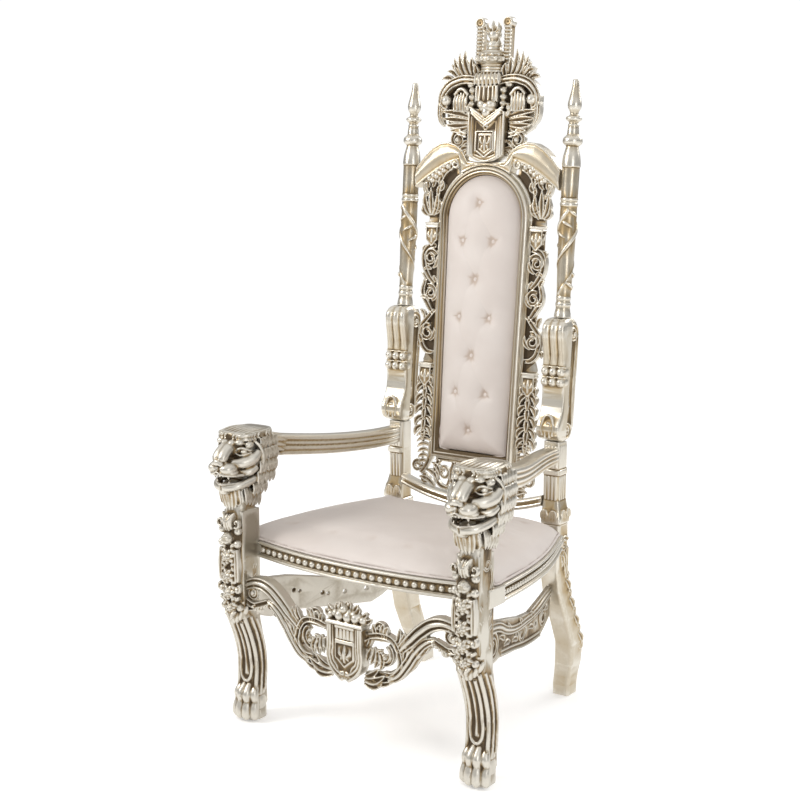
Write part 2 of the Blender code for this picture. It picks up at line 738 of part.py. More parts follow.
def apron_back():
    end = REAR_X - REAR_HALF - GAP
    top = RAIL_TOP - RAIL_HEIGHT - GAP
    outline = [(-end, top), (end, top), (end, top - BACK_APRON_HEIGHT)]
    for i in range(1, 8):
        x = end * (1 - 2 * i / 8)
        lift = 0.5 * BACK_APRON_HEIGHT * (1 - (x / end) ** 2)
        outline.append((x, top - BACK_APRON_HEIGHT + lift))
    outline.append((-end, top - BACK_APRON_HEIGHT))
    return slab(outline, REAR_Y - BACK_RAIL_DEPTH / 4, REAR_Y + BACK_RAIL_DEPTH / 4)


# The leaning back; all of it is in the tilted frame, x across, z up the slope

def frame_outline(shift=0.0):
    """Arched outline of the back, moved inwards by shift, from the foot round to the foot."""
    foot = up(FRAME_FOOT) + shift
    spring = up(FRAME_SPRING)
    half_foot = FRAME_HALF_FOOT - shift
    half_top = FRAME_HALF_TOP - shift
    rise = FRAME_RISE - shift
    points = [(half_foot, foot)]
    steps = 14
    for i in range(steps + 1):
        angle = math.pi * i / steps
        points.append((half_top * math.cos(angle), spring + rise * math.sin(angle)))
    points.append((-half_foot, foot))
    return points


def back_frame():
    inner = frame_outline(FRAME_WIDTH)
    front = -FRAME_THICK / 2
    outer_lip = frame_outline(FRAME_WIDTH * 0.28)
    inner_lip = frame_outline(FRAME_WIDTH * 0.80)
    rings = ((frame_outline(), -front), (frame_outline(), front * 0.55), (outer_lip, front),
             (inner_lip, front * 0.72), (inner, front * 0.3), (inner, -front))
    bm = bmesh.new()
    loops = [[bm.verts.new((x, depth, z)) for x, z in loop] for loop, depth in rings]
    count = len(loops[0])
    for near, far in zip(loops, loops[1:] + loops[:1]):
        for i in range(count):
            j = (i + 1) % count
            bm.faces.new((near[i], near[j], far[j], far[i]))
    bmesh.ops.recalc_face_normals(bm, faces=bm.faces)
    return from_bmesh(bm)


def pad_front():
    """Depth of the flat crown of the back cushion."""
    return -FRAME_THICK / 2 - PAD_CROWN


def back_cushion():
    behind = FRAME_THICK / 2 - PANEL_THICK - GAP
    edge = -FRAME_THICK * 0.1
    crown = pad_front() - edge
    rings = ((0.0, behind), (0.0, edge), (0.012, edge + crown * 0.42), (0.034, edge + crown * 0.78),
             (0.062, pad_front()))
    sections = []
    for inset, depth in rings:
        outline = frame_outline(FRAME_WIDTH + GAP + inset)
        sections.append([(x, depth, z) for x, z in outline])
    return loft(sections)


def back_panel():
    back = FRAME_THICK / 2
    return slab(frame_outline(FRAME_WIDTH + GAP), back - PANEL_THICK, back)


def button_places():
    """Rows of one and two buttons by turns, from the top of the back down."""
    rows = 7
    top = up(FRAME_SPRING + BUTTONS_OVER_SPRING)
    step = (top - up(FRAME_FOOT + BUTTONS_OVER_FOOT)) / (rows - 1)
    places = []
    for row in range(rows):
        z = top - row * step
        if row % 2 == 0:
            places.append((0.0, z))
        else:
            places += [(-BUTTON_SPREAD, z), (BUTTON_SPREAD, z)]
    return places


def button(place):
    bm = bmesh.new()
    bmesh.ops.create_cone(bm, cap_ends=True, segments=7, radius1=BUTTON_RADIUS,
                          radius2=BUTTON_RADIUS * 0.6, depth=BUTTON_THICK)
    mesh = from_bmesh(bm)
    mesh.transform(Matrix.Rotation(math.pi / 2, 4, "X"))
    depth = pad_front() - GAP - BUTTON_THICK / 2
    mesh.transform(Matrix.Translation((place[0], depth, place[1])))
    return mesh


def rail_underside(x):
    """Height of the top rail's lower edge outside the arch, by distance from the middle."""
    end = REAR_X - POST_RADIUS
    share = (x - 0.088) / (end - 0.088)
    low = up(TOP_RAIL_END)
    high = up(TOP_RAIL_APEX) - 0.050
    ease = min(max(share, 0.0), 1.0)
    return high + (low - high) * ease ** 1.4


def arch_height(x, shift=0.0):
    """Height of the arch's outside at a distance from the middle."""
    half = FRAME_HALF_TOP - shift
    rise = FRAME_RISE - shift
    inside = max(0.0, 1 - (x / half) ** 2)
    return up(FRAME_SPRING) + rise * math.sqrt(inside)


def top_rail():
    """Both shoulders, and the bridge over the arch that joins them."""
    end = REAR_X - POST_RADIUS - GAP
    upper_end = up(TOP_RAIL_END) + TOP_RAIL_END_HEIGHT
    apex = up(TOP_RAIL_APEX)
    crown = up(CREST_BOTTOM)
    half = []
    for share in (0.0, 0.16, 0.32, 0.5, 0.7, 0.86, 1.0):
        x = end + (TOP_RAIL_APEX_X - end) * share
        ease = math.sin(share * math.pi / 2)
        half.append((x, upper_end + (apex - upper_end) * ease))
    half += [(0.100, apex - 0.006), (0.078, apex - 0.022), (0.060, crown)]
    under = []
    inner_x = 0.076
    steps = 14
    for i in range(steps + 1):
        angle = math.pi * i / steps
        x = (FRAME_HALF_TOP + GAP) * math.cos(angle)
        if 0 <= x < inner_x:
            under.append((x, up(FRAME_SPRING) + (FRAME_RISE + GAP * 2) * math.sin(angle)))
    under = sorted(under)
    lower = [(x, z) for x, z in under if x > 0.001]
    lower += [(inner_x + 0.004, arch_height(inner_x) + 0.018), (0.092, rail_underside(0.092))]
    for share in (0.2, 0.45, 0.7, 1.0):
        x = 0.092 + (end - 0.092) * share
        lower.append((x, rail_underside(x)))
    middle_low = (0.0, up(FRAME_SPRING) + FRAME_RISE + GAP * 2)
    right = [middle_low] + lower + half + [(0.0, crown)]
    left = [(-x, z) for x, z in reversed(right) if x > 0.0]
    thick = TOP_RAIL_THICK / 2
    return slab(right + left, -thick, thick)


def fret_field():
    """Outline inside which a pierced band stays: off the frame and under the top rail."""
    points = [(FRAME_HALF_FOOT + GAP, up(FRAME_FOOT))]
    for i in range(0, 5):
        angle = math.pi * i / 14
        points.append(((FRAME_HALF_TOP + GAP) * math.cos(angle),
                       up(FRAME_SPRING) + (FRAME_RISE + GAP) * math.sin(angle)))
    points += [(0.092, up(TOP_RAIL_APEX) - 0.055)]
    for share in (0.2, 0.45, 0.7, 0.9):
        x = 0.092 + (REAR_X - POST_RADIUS - 0.092) * share
        points.append((x, rail_underside(x) - 0.0012))
    points += [(FRET_OUTER + 0.022, up(1.38)), (FRET_OUTER + 0.022, up(0.58)),
               (FRAME_HALF_FOOT + GAP, up(0.58))]
    return points


def level(share):
    """Height beside the arched frame, as a share of the way from its foot to the springing."""
    return up(FRAME_FOOT + share * (FRAME_SPRING - FRAME_FOOT))


def fretwork():
    """Right-hand band: a narrow stile, stacked scrolls, two small shields and a leaf foot."""
    foot = up(FRAME_FOOT)
    edge = FRAME_HALF_TOP
    thick = FRET_THICK / 2
    stile = [(FRAME_HALF_FOOT - 0.004, foot - 0.02), (FRAME_HALF_FOOT + 0.010, foot - 0.02),
             (edge + 0.009, level(0.9552)), (edge + 0.006, up(FRAME_SPRING)), (edge - 0.006, up(FRAME_SPRING))]
    arch = [(x, z, 0.009) for x, z in frame_outline(-0.003)[1:6]]
    mid = (edge + FRET_OUTER) / 2
    out = FRET_OUTER - 0.008

    paths = [
        arch,
        scroll((0.150, level(1.1731)), 0.026, -60, 1.0, 0.008),
        [(0.185, level(1.1418), 0.009), (0.190, level(1.0746), 0.011), (0.178, level(1.0075), 0.009)],
        leaf((0.165, level(1.0000)), (0.172, level(1.1045)), 0.011),
        scroll((mid, level(0.8134)), 0.026, 90, -0.9, 0.008),
        [(mid - 0.008, level(0.8806), 0.008), (out, level(0.8433), 0.008), (out - 0.004, level(0.7612), 0.008),
         (mid - 0.012, level(0.7164), 0.008)],
        scroll((mid + 0.002, level(0.6642)), 0.024, 100, -0.9, 0.008),
        [(mid - 0.014, level(0.7313), 0.008), (mid - 0.002, level(0.6194), 0.010), (mid + 0.008, level(0.5597), 0.010)],
        scroll((mid, level(0.4701)), 0.030, 95, -0.95, 0.008),
        [(mid - 0.016, level(0.5224), 0.008), (mid + 0.004, level(0.5448), 0.009), (mid + 0.014, level(0.5746), 0.007)],
        [(mid - 0.020, level(0.4179), 0.008), (mid, level(0.4030), 0.010), (mid + 0.016, level(0.4104), 0.008)],
        leaf((mid, level(0.2836)), (mid + 0.012, level(0.1567)), 0.017, 0.05),
        leaf((mid - 0.010, level(0.2090)), (mid - 0.004, level(0.0821)), 0.016),
        leaf((mid - 0.004, level(0.1269)), (mid + 0.020, level(0.0448)), 0.014),
        leaf((mid - 0.012, level(0.0970)), (0.192, level(-0.0119)), 0.017, 0.15),
        leaf((mid - 0.016, level(0.0672)), (0.176, level(-0.0299)), 0.016, 0.10),
        scroll((0.180, level(-0.0522)), 0.020, 90, -0.9, 0.008),
        [(0.140, level(0.0299), 0.012), (0.150, level(-0.0299), 0.012), (0.168, level(-0.0716), 0.009)],
    ]
    shapes = [strokes(paths, flat=1.1), slab(stile, -thick * 0.6, thick * 0.6)]
    for share in (0.922, 0.340):
        z = level(share)
        shield = [(mid - 0.016, z + 0.026), (mid - 0.016, z - 0.010), (mid, z - 0.028),
                  (mid + 0.016, z - 0.010), (mid + 0.016, z + 0.026)]
        shapes.append(slab(shield, -thick * 1.1, thick * 0.8))
        shapes.append(box((mid - 0.028, -thick, z + 0.022), (mid + 0.020, thick * 0.8, z + 0.034)))
    band = fused(shapes, 0.0032, 370)
    return combined(band, slab(fret_field(), -0.05, 0.05), "INTERSECT")


def lower_rail_height(x):
    """Height of the lower back rail's middle line, sagging between the columns."""
    share = x / (REAR_X - COLUMN_HALF)
    return up(LOWER_RAIL_END) - LOWER_RAIL_SAG * (1 - share * share)


def lower_back_rail():
    end = REAR_X - COLUMN_HALF - GAP
    steps = 12
    half = LOWER_RAIL_HEIGHT / 2
    xs = [-end + 2 * end * i / steps for i in range(steps + 1)]
    outline = [(x, lower_rail_height(x) - half) for x in xs]
    outline += [(x, lower_rail_height(x) + half) for x in reversed(xs)]
    thick = LOWER_RAIL_THICK / 2
    return slab(outline, -thick, thick)


def lower_fretwork():
    """Pierced scrolls between the lower rail and the foot of the frame."""
    foot = up(FRAME_FOOT) - GAP
    half = FRAME_HALF_FOOT - 0.008
    top = foot - 0.006
    paths = [
        [(0.0, top, 0.009), (half * 0.5, top, 0.009), (half, top, 0.009)],
        scroll((0.095, up(0.610)), 0.024, 60, 0.95, 0.008),
        [(0.112, top, 0.009), (0.124, up(0.615), 0.009), (0.108, up(0.578), 0.010), (0.075, up(0.568), 0.009)],
        scroll((0.045, up(0.605)), 0.022, 140, -0.95, 0.008),
        [(0.060, top, 0.008), (0.068, up(0.610), 0.009), (0.060, up(0.570), 0.010)],
        [(0.022, top, 0.008), (0.016, up(0.600), 0.009), (0.0, up(0.570), 0.010)],
        leaf((0.0, up(0.575)), (0.0, up(0.640)), 0.012),
        [(0.0, up(0.556), 0.012), (0.035, up(0.556), 0.010), (0.070, up(0.562), 0.009)],
    ]
    carving = both_sides(strokes(paths, flat=1.0))
    body = fused([carving], 0.0032, 250, alike=True)
    steps = 10
    xs = [-half - 0.02 + 2 * (half + 0.02) * i / steps for i in range(steps + 1)]
    rail = LOWER_RAIL_HEIGHT / 2 + GAP
    field = [(x, lower_rail_height(x) + rail) for x in xs]
    field += [(xs[-1], foot), (xs[0], foot)]
    return combined(body, slab(field, -0.04, 0.04), "INTERSECT")


def console():
    """Scroll bracket: reeded lobes over two rows of beads and a rolled foot."""
    low = up(CONSOLE_BOTTOM)
    high = up(CONSOLE_TOP)
    tall = high - low
    back = 0.040
    # Share of the height, share of the depth in front, and how deep the lobes are cut
    stations = ((0.0, 0.55, 0.0), (0.03, 0.86, 0.0), (0.09, 1.0, 0.0), (0.16, 0.94, 0.0), (0.24, 0.66, 0.0),
                (0.36, 0.62, 0.0), (0.425, 0.62, 0.0), (0.45, 0.84, 0.14), (0.485, 0.84, 0.14),
                (0.51, 0.68, 0.0), (0.53, 0.84, 0.14), (0.57, 0.84, 0.14), (0.60, 0.66, 0.08),
                (0.70, 0.84, 0.13), (0.82, 1.08, 0.13), (0.92, 1.08, 0.13), (0.975, 0.90, 0.12), (1.0, 0.55, 0.05))
    across = (-1.0, -0.66, -0.33, 0.0, 0.33, 0.66, 1.0)
    sections = []
    for share, reach, cut in stations:
        z = low + tall * share
        ring = []
        for a in across:
            lobe = cut * (0.5 + 0.5 * math.cos(a * 3 * math.pi)) if abs(a) < 0.98 else cut
            edge = 0.16 if abs(a) > 0.98 else 0.0
            front = -CONSOLE_DEPTH * (reach - (cut - lobe) - edge)
            ring.append((REAR_X + CONSOLE_HALF * a, front, z))
        ring.append((REAR_X + CONSOLE_HALF, back, z))
        ring.append((REAR_X - CONSOLE_HALF, back, z))
        sections.append(ring)
    return loft(sections)


def post():
    """Turned post: (share of the way down, radius) from the tip."""
    r = POST_RADIUS
    ring = POST_RING
    tall = POST_TIP - CONSOLE_TOP
    turning = (
        (0.0, 0.34 * r), (0.053, 0.50 * r), (0.093, 0.74 * r), (0.116, 0.76 * r),
        (0.143, 0.42 * r), (0.154, 0.66 * r), (0.164, 0.86 * r), (0.173, 0.66 * r),
        (0.180, 0.50 * r), (0.189, 0.62 * r), (0.226, 0.64 * r), (0.239, 0.84 * ring),
        (0.257, ring), (0.270, 0.84 * ring), (0.276, 0.66 * r), (0.295, 0.82 * r),
        (0.329, 0.98 * r), (0.364, 1.0 * r), (0.369, 0.93 * r), (0.502, 0.90 * r),
        (0.514, 0.98 * r), (0.536, 0.92 * r), (0.674, 0.94 * r), (0.770, 0.86 * r),
        (0.899, 0.74 * r), (0.963, 0.84 * r), (1.0, 0.94 * r),
    )
    bm = bmesh.new()
    points = [bm.verts.new((0.0, 0.0, up(POST_TIP)))]
    points += [bm.verts.new((radius, 0.0, up(POST_TIP - share * tall))) for share, radius in turning[:-1]]
    points.append(bm.verts.new((turning[-1][1], 0.0, up(CONSOLE_TOP) + GAP)))
    points.append(bm.verts.new((0.0, 0.0, up(CONSOLE_TOP) + GAP)))
    for a, b in zip(points, points[1:]):
        bm.edges.new((a, b))
    mesh = modified(from_bmesh(bm), "SCREW", steps=8, render_steps=8, use_merge_vertices=True,
                    merge_threshold=0.00001)
    mesh.transform(Matrix.Translation((REAR_X, 0.0, 0.0)))
    return mesh


def rise(share):
    """Height on the crest, as a share of its own height."""
    return up(CREST_BOTTOM + share * CREST_HEIGHT)


def crest():
    """Reeded panel with a small shield, scrolled leaves at both sides, and the crown."""
    low = up(CREST_BOTTOM)
    wide = CREST_HALF
    top = rise(1.0)
    panel = [(-0.053, low + 0.012), (-0.030, low + 0.004), (0.0, low - 0.002), (0.030, low + 0.004),
             (0.053, low + 0.012), (0.056, low + 0.110), (0.040, low + 0.140), (0.0, low + 0.105),
             (-0.040, low + 0.140), (-0.056, low + 0.110)]
    shield = [(-0.026, rise(0.2159)), (-0.026, rise(0.0977)), (0.0, rise(0.0411)), (0.026, rise(0.0977)), (0.026, rise(0.2159))]
    drape = [(-0.032, rise(0.5141)), (-0.034, rise(0.4062)), (-0.016, rise(0.4267)), (0.0, rise(0.3856)),
             (0.016, rise(0.4267)), (0.034, rise(0.4062)), (0.032, rise(0.5141))]
    side = [
        [(0.020, rise(0.5604), 0.012), (0.070, rise(0.5733), 0.012), (0.115, rise(0.5553), 0.012),
         (wide - 0.014, rise(0.4884), 0.011), (wide - 0.006, rise(0.3933), 0.010), (wide - 0.010, rise(0.3162), 0.008)],
        scroll((0.132, rise(0.4370)), 0.022, 60, -0.9, 0.009),
        leaf((0.120, rise(0.5347)), (wide, rise(0.5990)), 0.011, 0.15),
        leaf((0.085, rise(0.5604)), (0.132, rise(0.7018)), 0.011, -0.1),
        leaf((0.070, rise(0.5604)), (0.104, rise(0.7532)), 0.012, -0.1),
        leaf((0.055, rise(0.5604)), (0.074, rise(0.7661)), 0.012, -0.1),
        leaf((0.040, rise(0.5604)), (0.052, rise(0.7275)), 0.011),
        leaf((0.084, rise(0.3676)), (0.080, rise(0.4961)), 0.010),
        leaf((0.098, rise(0.3676)), (0.098, rise(0.5090)), 0.010),
        leaf((0.110, rise(0.3676)), (0.114, rise(0.4884)), 0.009),
        leaf((0.055, rise(0.3419)), (wide, rise(0.3496)), 0.012, 0.06),
        leaf((0.060, rise(0.3162)), (wide - 0.008, rise(0.2776)), 0.012),
        leaf((0.062, rise(0.2776)), (0.135, rise(0.2314)), 0.012),
        scroll((0.094, rise(0.1645)), 0.021, 100, -0.9, 0.009),
        leaf((0.060, rise(0.2391)), (0.085, rise(0.1877)), 0.011),
        leaf((0.058, rise(0.0977)), (0.082, rise(0.0591)), 0.010),
        [(0.030, rise(0.4062), 0.012), (0.052, rise(0.4447), 0.012), (0.062, rise(0.5090), 0.011), (0.050, rise(0.5604), 0.010)],
        leaf((0.040, rise(0.3548)), (0.070, rise(0.4319)), 0.012),
        [(0.044, rise(0.7404), 0.010), (0.045, rise(0.8432), 0.0105), (0.044, top - 0.030, 0.0115),
         (0.044, top - 0.012, 0.0125)],
    ]
    shapes = [
        both_sides(strokes(side, flat=1.25)),
        slab(panel, -0.022, 0.020),
        slab(shield, -0.032, 0.0),
        slab(drape, -0.034, 0.012),
        ball((0.0, -0.012, rise(0.3753)), (0.030, 0.020, 0.022), 10, 6),
        ball((0.0, -0.004, rise(0.5604)), (0.040, 0.026, 0.022), 12, 6),
        ball((0.0, 0.0, rise(0.6504)), (0.034, 0.026, 0.020), 12, 6),
        ball((0.0, 0.0, rise(0.7198)), (0.048, 0.032, 0.016), 12, 6),
        ball((0.0, 0.0, rise(0.8046)), (0.024, 0.020, 0.030), 10, 6),
        ball((0.0, 0.0, rise(0.9152)), (0.016, 0.014, 0.022), 8, 6),
    ]
    reeds = 6
    for i in range(reeds):
        x = 0.048 * (2 * i / (reeds - 1) - 1)
        shapes.append(box((x - 0.0045, -0.028, low + 0.016), (x + 0.0045, 0.0, low + 0.108)))
    for sign in (-1, 1):
        shapes.append(ball((sign * 0.044, 0.0, top - 0.013), (0.014, 0.017, 0.013), 10, 6))
    body = fused(shapes, 0.0036, 860, alike=True)
    body = combined(body, box((-0.3, -0.1, low - 0.1), (0.3, 0.1, low + GAP)), "DIFFERENCE")
    seat = slab(crest_seat(), -TOP_RAIL_THICK / 2 - GAP, TOP_RAIL_THICK / 2 + GAP)
    return combined(body, seat, "DIFFERENCE")


def crest_seat():
    """The shoulders' inner ends, a little larger, which the crest's lower leaves clear."""
    apex = up(TOP_RAIL_APEX)
    crown = up(CREST_BOTTOM)
    right = [(0.0, crown - 0.02), (0.30, crown - 0.02), (0.30, apex + GAP), (TOP_RAIL_APEX_X, apex + GAP),
             (0.0995, apex - 0.0055), (0.0775, apex - 0.0213), (0.0594, crown + GAP), (0.0, crown + GAP)]
    return right + [(-x, z) for x, z in reversed(right) if x > 0]


def build():
    throne = bpy.data.objects.new("throne", None)
    PARTS.objects.link(throne)
    reach = -HEAD_FRONT + FOOT_Y + FOOT_HALF * 1.12
    throne.location = (0.0, -HEAD_FRONT - reach / 2, 0.0)
    back = bpy.data.objects.new("back", None)
    PARTS.objects.link(back)
    back.parent = throne
    back.location = (0.0, PIVOT_Y, PIVOT_Z)
    back.rotation_euler = (-LEAN, 0.0, 0.0)

    pairs = (
        ("front_leg", front_leg, throne), ("back_leg", rear_leg, throne), ("armrest", armrest, throne),
        ("seat_rail", side_rail, throne), ("apron", side_apron, throne), ("fretwork", fretwork, back),
        ("console", console, back), ("post", post, back),
    )
    for name, make, parent in pairs:
        right = make()
        put(name + "_left", mirrored(right), LEAF_FINISH, parent)
        put(name + "_right", right, LEAF_FINISH, parent)
    singles = (
        ("seat_rail_front", front_rail, LEAF_FINISH, throne),
        ("seat_rail_back", back_rail, LEAF_FINISH, throne),
        ("apron_front", apron_front, LEAF_FINISH, throne),
        ("apron_back", apron_back, LEAF_FINISH, throne),
        ("seat_cushion", seat_cushion, CLOTH_FINISH, throne),
        ("lower_back_rail", lower_back_rail, LEAF_FINISH, back),
        ("lower_fretwork", lower_fretwork, LEAF_FINISH, back),
        ("back_frame", back_frame, LEAF_FINISH, back),
        ("back_cushion", back_cushion, CLOTH_FINISH, back),
        ("back_panel", back_panel, CLOTH_FINISH, back),
        ("top_rail", top_rail, LEAF_FINISH, back),
        ("crest", crest, LEAF_FINISH, back),
    )
    for name, make, finish, parent in singles:
        put(name, make(), finish, parent)
    for number, place in enumerate(button_places(), start=1):
        put(f"button_{number:02d}", button(place), CLOTH_FINISH, back)


clear_scene()
PARTS = new_collection("king_chair")
CUTTERS = new_collection("cutters")
build()
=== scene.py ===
"""Looks of a carved lion throne: rubbed silver-gold leaf over carved wood with painted light above and
painted shade below, and pale satin upholstery with painted shade in its folds.

Every piece is shaped with heights from the floor. Seat pieces take depths from the front paws;
back pieces are shaped upright, with depths from the middle of the leaning back.
"""
import math

import bmesh
import bpy
import numpy as np
from mathutils import Matrix, Vector


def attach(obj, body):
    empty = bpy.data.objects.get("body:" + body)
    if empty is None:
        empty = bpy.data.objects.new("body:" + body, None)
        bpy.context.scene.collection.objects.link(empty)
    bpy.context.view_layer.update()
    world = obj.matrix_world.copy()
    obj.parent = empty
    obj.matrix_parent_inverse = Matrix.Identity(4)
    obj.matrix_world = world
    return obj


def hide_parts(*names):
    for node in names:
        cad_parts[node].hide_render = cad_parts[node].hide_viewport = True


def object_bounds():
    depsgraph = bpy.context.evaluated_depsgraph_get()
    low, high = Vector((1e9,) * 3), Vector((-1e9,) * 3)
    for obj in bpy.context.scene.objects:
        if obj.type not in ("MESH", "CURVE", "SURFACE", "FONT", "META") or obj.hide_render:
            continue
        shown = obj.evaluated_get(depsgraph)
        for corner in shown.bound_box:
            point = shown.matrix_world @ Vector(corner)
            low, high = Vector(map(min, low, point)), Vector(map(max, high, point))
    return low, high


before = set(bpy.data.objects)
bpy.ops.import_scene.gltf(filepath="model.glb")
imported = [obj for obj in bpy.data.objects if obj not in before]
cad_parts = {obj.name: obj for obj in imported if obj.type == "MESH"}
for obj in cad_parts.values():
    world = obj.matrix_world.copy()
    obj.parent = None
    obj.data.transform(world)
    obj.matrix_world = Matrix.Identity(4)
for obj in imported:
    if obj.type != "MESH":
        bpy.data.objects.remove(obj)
cad_low, cad_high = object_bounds()

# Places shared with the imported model, in metres
LEG_X = 0.365
REAR_X = 0.255
REAR_Y = 0.59
LEAN = 0.0818
PIVOT_Y = 0.5744
PIVOT_Z = 0.6
DEPTH_SHIFT = -0.31856
FRAME_FOOT = 0.66
FRAME_SPRING = 1.33
FRAME_HALF_TOP = 0.1415
FRAME_HALF_FOOT = 0.1345
FRAME_RISE = 0.143
FRAME_WIDTH = 0.024
FRAME_THICK = 0.04
RAIL_TOP = 0.4997
RAIL_HEIGHT = 0.045

SEAT = Matrix.Translation((0.0, DEPTH_SHIFT, 0.0))
BACK = (SEAT @ Matrix.Translation((0.0, PIVOT_Y, PIVOT_Z)) @ Matrix.Rotation(-LEAN, 4, "X")
        @ Matrix.Diagonal((1.0, 1.0, 1.0 / math.cos(LEAN), 1.0)) @ Matrix.Translation((0.0, 0.0, -PIVOT_Z)))


# Shader maths as Python expressions

class Value:
    """One shader value; arithmetic on it adds Math nodes to the tree being built."""
    tree = None

    def __init__(self, socket):
        self.socket = socket

    @classmethod
    def node(cls, kind, settings=None, inputs=None, output=0):
        made = cls.tree.nodes.new(kind)
        for key, setting in (settings or {}).items():
            setattr(made, key, setting)
        for key, given in (inputs or {}).items():
            if isinstance(given, cls):
                cls.tree.links.new(given.socket, made.inputs[key])
            else:
                made.inputs[key].default_value = given
        return cls(made.outputs[output])

    def math(self, operation, *others, clamp=False):
        inputs = dict(enumerate((self, *others)))
        return Value.node("ShaderNodeMath", {"operation": operation, "use_clamp": clamp}, inputs)

    def __add__(self, other):
        return self.math("ADD", other)

    __radd__ = __add__

    def __mul__(self, other):
        return self.math("MULTIPLY", other)

    __rmul__ = __mul__

    def __sub__(self, other):
        return self.math("SUBTRACT", other)

    def __rsub__(self, other):
        return (self * -1.0) + other

    def __truediv__(self, other):
        return self.math("DIVIDE", other)

    def __rtruediv__(self, other):
        return self.math("POWER", -1.0) * other

    def __pow__(self, other):
        return self.math("POWER", other)

    def between(self, low, high):
        """0 below low, 1 above high, and a smooth step from one to the other."""
        return Value.node("ShaderNodeMapRange", {"interpolation_type": "SMOOTHSTEP"},
                          {"Value": self, "From Min": low, "From Max": high})

    def clamped(self):
        return self.math("ADD", 0.0, clamp=True)


def colour_mix(share, first, second):
    return Value.node("ShaderNodeMix", {"data_type": "RGBA"}, {0: share, 6: first, 7: second}, output=2)


def noise(place, scale, detail=3.0, roughness=0.55, distortion=0.0):
    return Value.node("ShaderNodeTexNoise", {}, {"Vector": place, "Scale": scale, "Detail": detail,
                                                 "Roughness": roughness, "Distortion": distortion})


def new_material(name, build):
    material = bpy.data.materials.new(name)
    material.use_nodes = True
    tree = material.node_tree
    tree.nodes.clear()
    Value.tree = tree
    shader = tree.nodes.new("ShaderNodeBsdfPrincipled")
    output = tree.nodes.new("ShaderNodeOutputMaterial")
    tree.links.new(shader.outputs[0], output.inputs[0])
    for key, given in build().items():
        if isinstance(given, Value):
            tree.links.new(given.socket, shader.inputs[key])
        else:
            shader.inputs[key].default_value = given
    return material


def bumped(height, distance, strength=1.0):
    return Value.node("ShaderNodeBump", {}, {"Strength": strength, "Distance": distance, "Height": height})


def leaf_finish(pale, gold, patina, gloss):
    """Leaf over carved wood: pale on the high parts, gold-toned in the recesses, dark where they are deep;
    upward faces are made paler as painted light and downward faces darker gold as painted shade.
    """
    def build():
        spot = Value.node("ShaderNodeTexCoord", output=3)
        fine = Value.node("ShaderNodeAttribute", {"attribute_name": "fine"}, output=2)
        deep = Value.node("ShaderNodeAttribute", {"attribute_name": "deep"}, output=2)
        facing = Value.node("ShaderNodeNewGeometry", output=1)
        upward = Value.node("ShaderNodeSeparateXYZ", {}, {"Vector": facing}, output=2)
        cloud = noise(spot, 8.0, 4.0)
        specks = noise(spot, 120.0, 3.0)
        # Gold tone from the recesses and random clouds, plus painted shade: faces that point down are made
        # darker gold.
        hollow_and_underside_shade = deep * 0.55 + fine * 0.45 + (cloud - 0.5) * 1.3 + (specks - 0.5) * 0.3 - upward * 0.3
        golden_and_underside_shade = hollow_and_underside_shade.between(-0.35, 0.65)
        dark = (deep * 0.75 + fine * 0.7 + (specks - 0.5) * 0.25).between(0.55, 1.45) * patina
        # Rubbed wear on the raised parts, plus painted light: faces that point up are made paler.
        wear_and_top_light = (fine * -1.0 + upward * 0.25 + (specks - 0.5) * 0.5).between(0.2, 0.9)
        base = colour_mix(golden_and_underside_shade, (*pale, 1.0), (*gold, 1.0))
        base = colour_mix(wear_and_top_light * 0.55, base, (0.82, 0.79, 0.72, 1.0))
        base = colour_mix(dark, base, (0.055, 0.034, 0.016, 1.0))
        grain = noise(spot, 420.0, 2.0) * 0.35 + noise(spot, 60.0, 3.0) * 0.65
        return {
            "Base Color": base,
            "Metallic": 0.88 - dark * 0.7,
            "Roughness": (golden_and_underside_shade * 0.08 + specks * 0.14 + dark * 0.3 + gloss).clamped(),
            "Normal": bumped(grain, 0.0006, 0.35),
        }
    return build


def satin_finish():
    """Woven satin: threads as a fine bump, with slow changes of shade, and painted shade darkening the folds
    and dimples.
    """
    spot = Value.node("ShaderNodeTexCoord", output=3)
    warp = Value.node("ShaderNodeTexWave", {"bands_direction": "X"}, {"Vector": spot, "Scale": 260.0})
    weft = Value.node("ShaderNodeTexWave", {"bands_direction": "Z"}, {"Vector": spot, "Scale": 260.0})
    run = Value.node("ShaderNodeTexWave", {"bands_direction": "Y"}, {"Vector": spot, "Scale": 260.0})
    weave = (warp + weft + run) * 0.33
    cloud = noise(spot, 7.0, 3.0)
    painted_fold_shade = Value.node("ShaderNodeAttribute", {"attribute_name": "deep"}, output=2)
    base = colour_mix(cloud.between(0.3, 0.7), (0.7, 0.635, 0.59, 1.0), (0.66, 0.59, 0.545, 1.0))
    # Painted shade: the cloth is darkened where it sinks into folds and dimples.
    base = colour_mix(painted_fold_shade.between(0.1, 0.95) * 0.75, base, (0.48, 0.37, 0.29, 1.0))
    return {
        "Base Color": base,
        "Roughness": 0.46 + weave * 0.1 + cloud * 0.06,
        "Sheen Weight": 0.25,
        "Sheen Roughness": 0.4,
        "Normal": bumped(weave, 0.0002, 0.25),
    }


def floor_finish():
    spot = Value.node("ShaderNodeTexCoord", output=3)
    return {"Base Color": colour_mix(noise(spot, 2.0), (0.93, 0.93, 0.925, 1.0), (0.95, 0.95, 0.945, 1.0)),
            "Roughness": 0.75 + noise(spot, 5.0) * 0.1,
            "Emission Color": (1.0, 1.0, 1.0, 1.0), "Emission Strength": 0.27}


CARVED_LEAF = new_material("carved_silver_gold_leaf",
                           leaf_finish((0.575, 0.52, 0.425), (0.41, 0.295, 0.155), 0.92, 0.27))
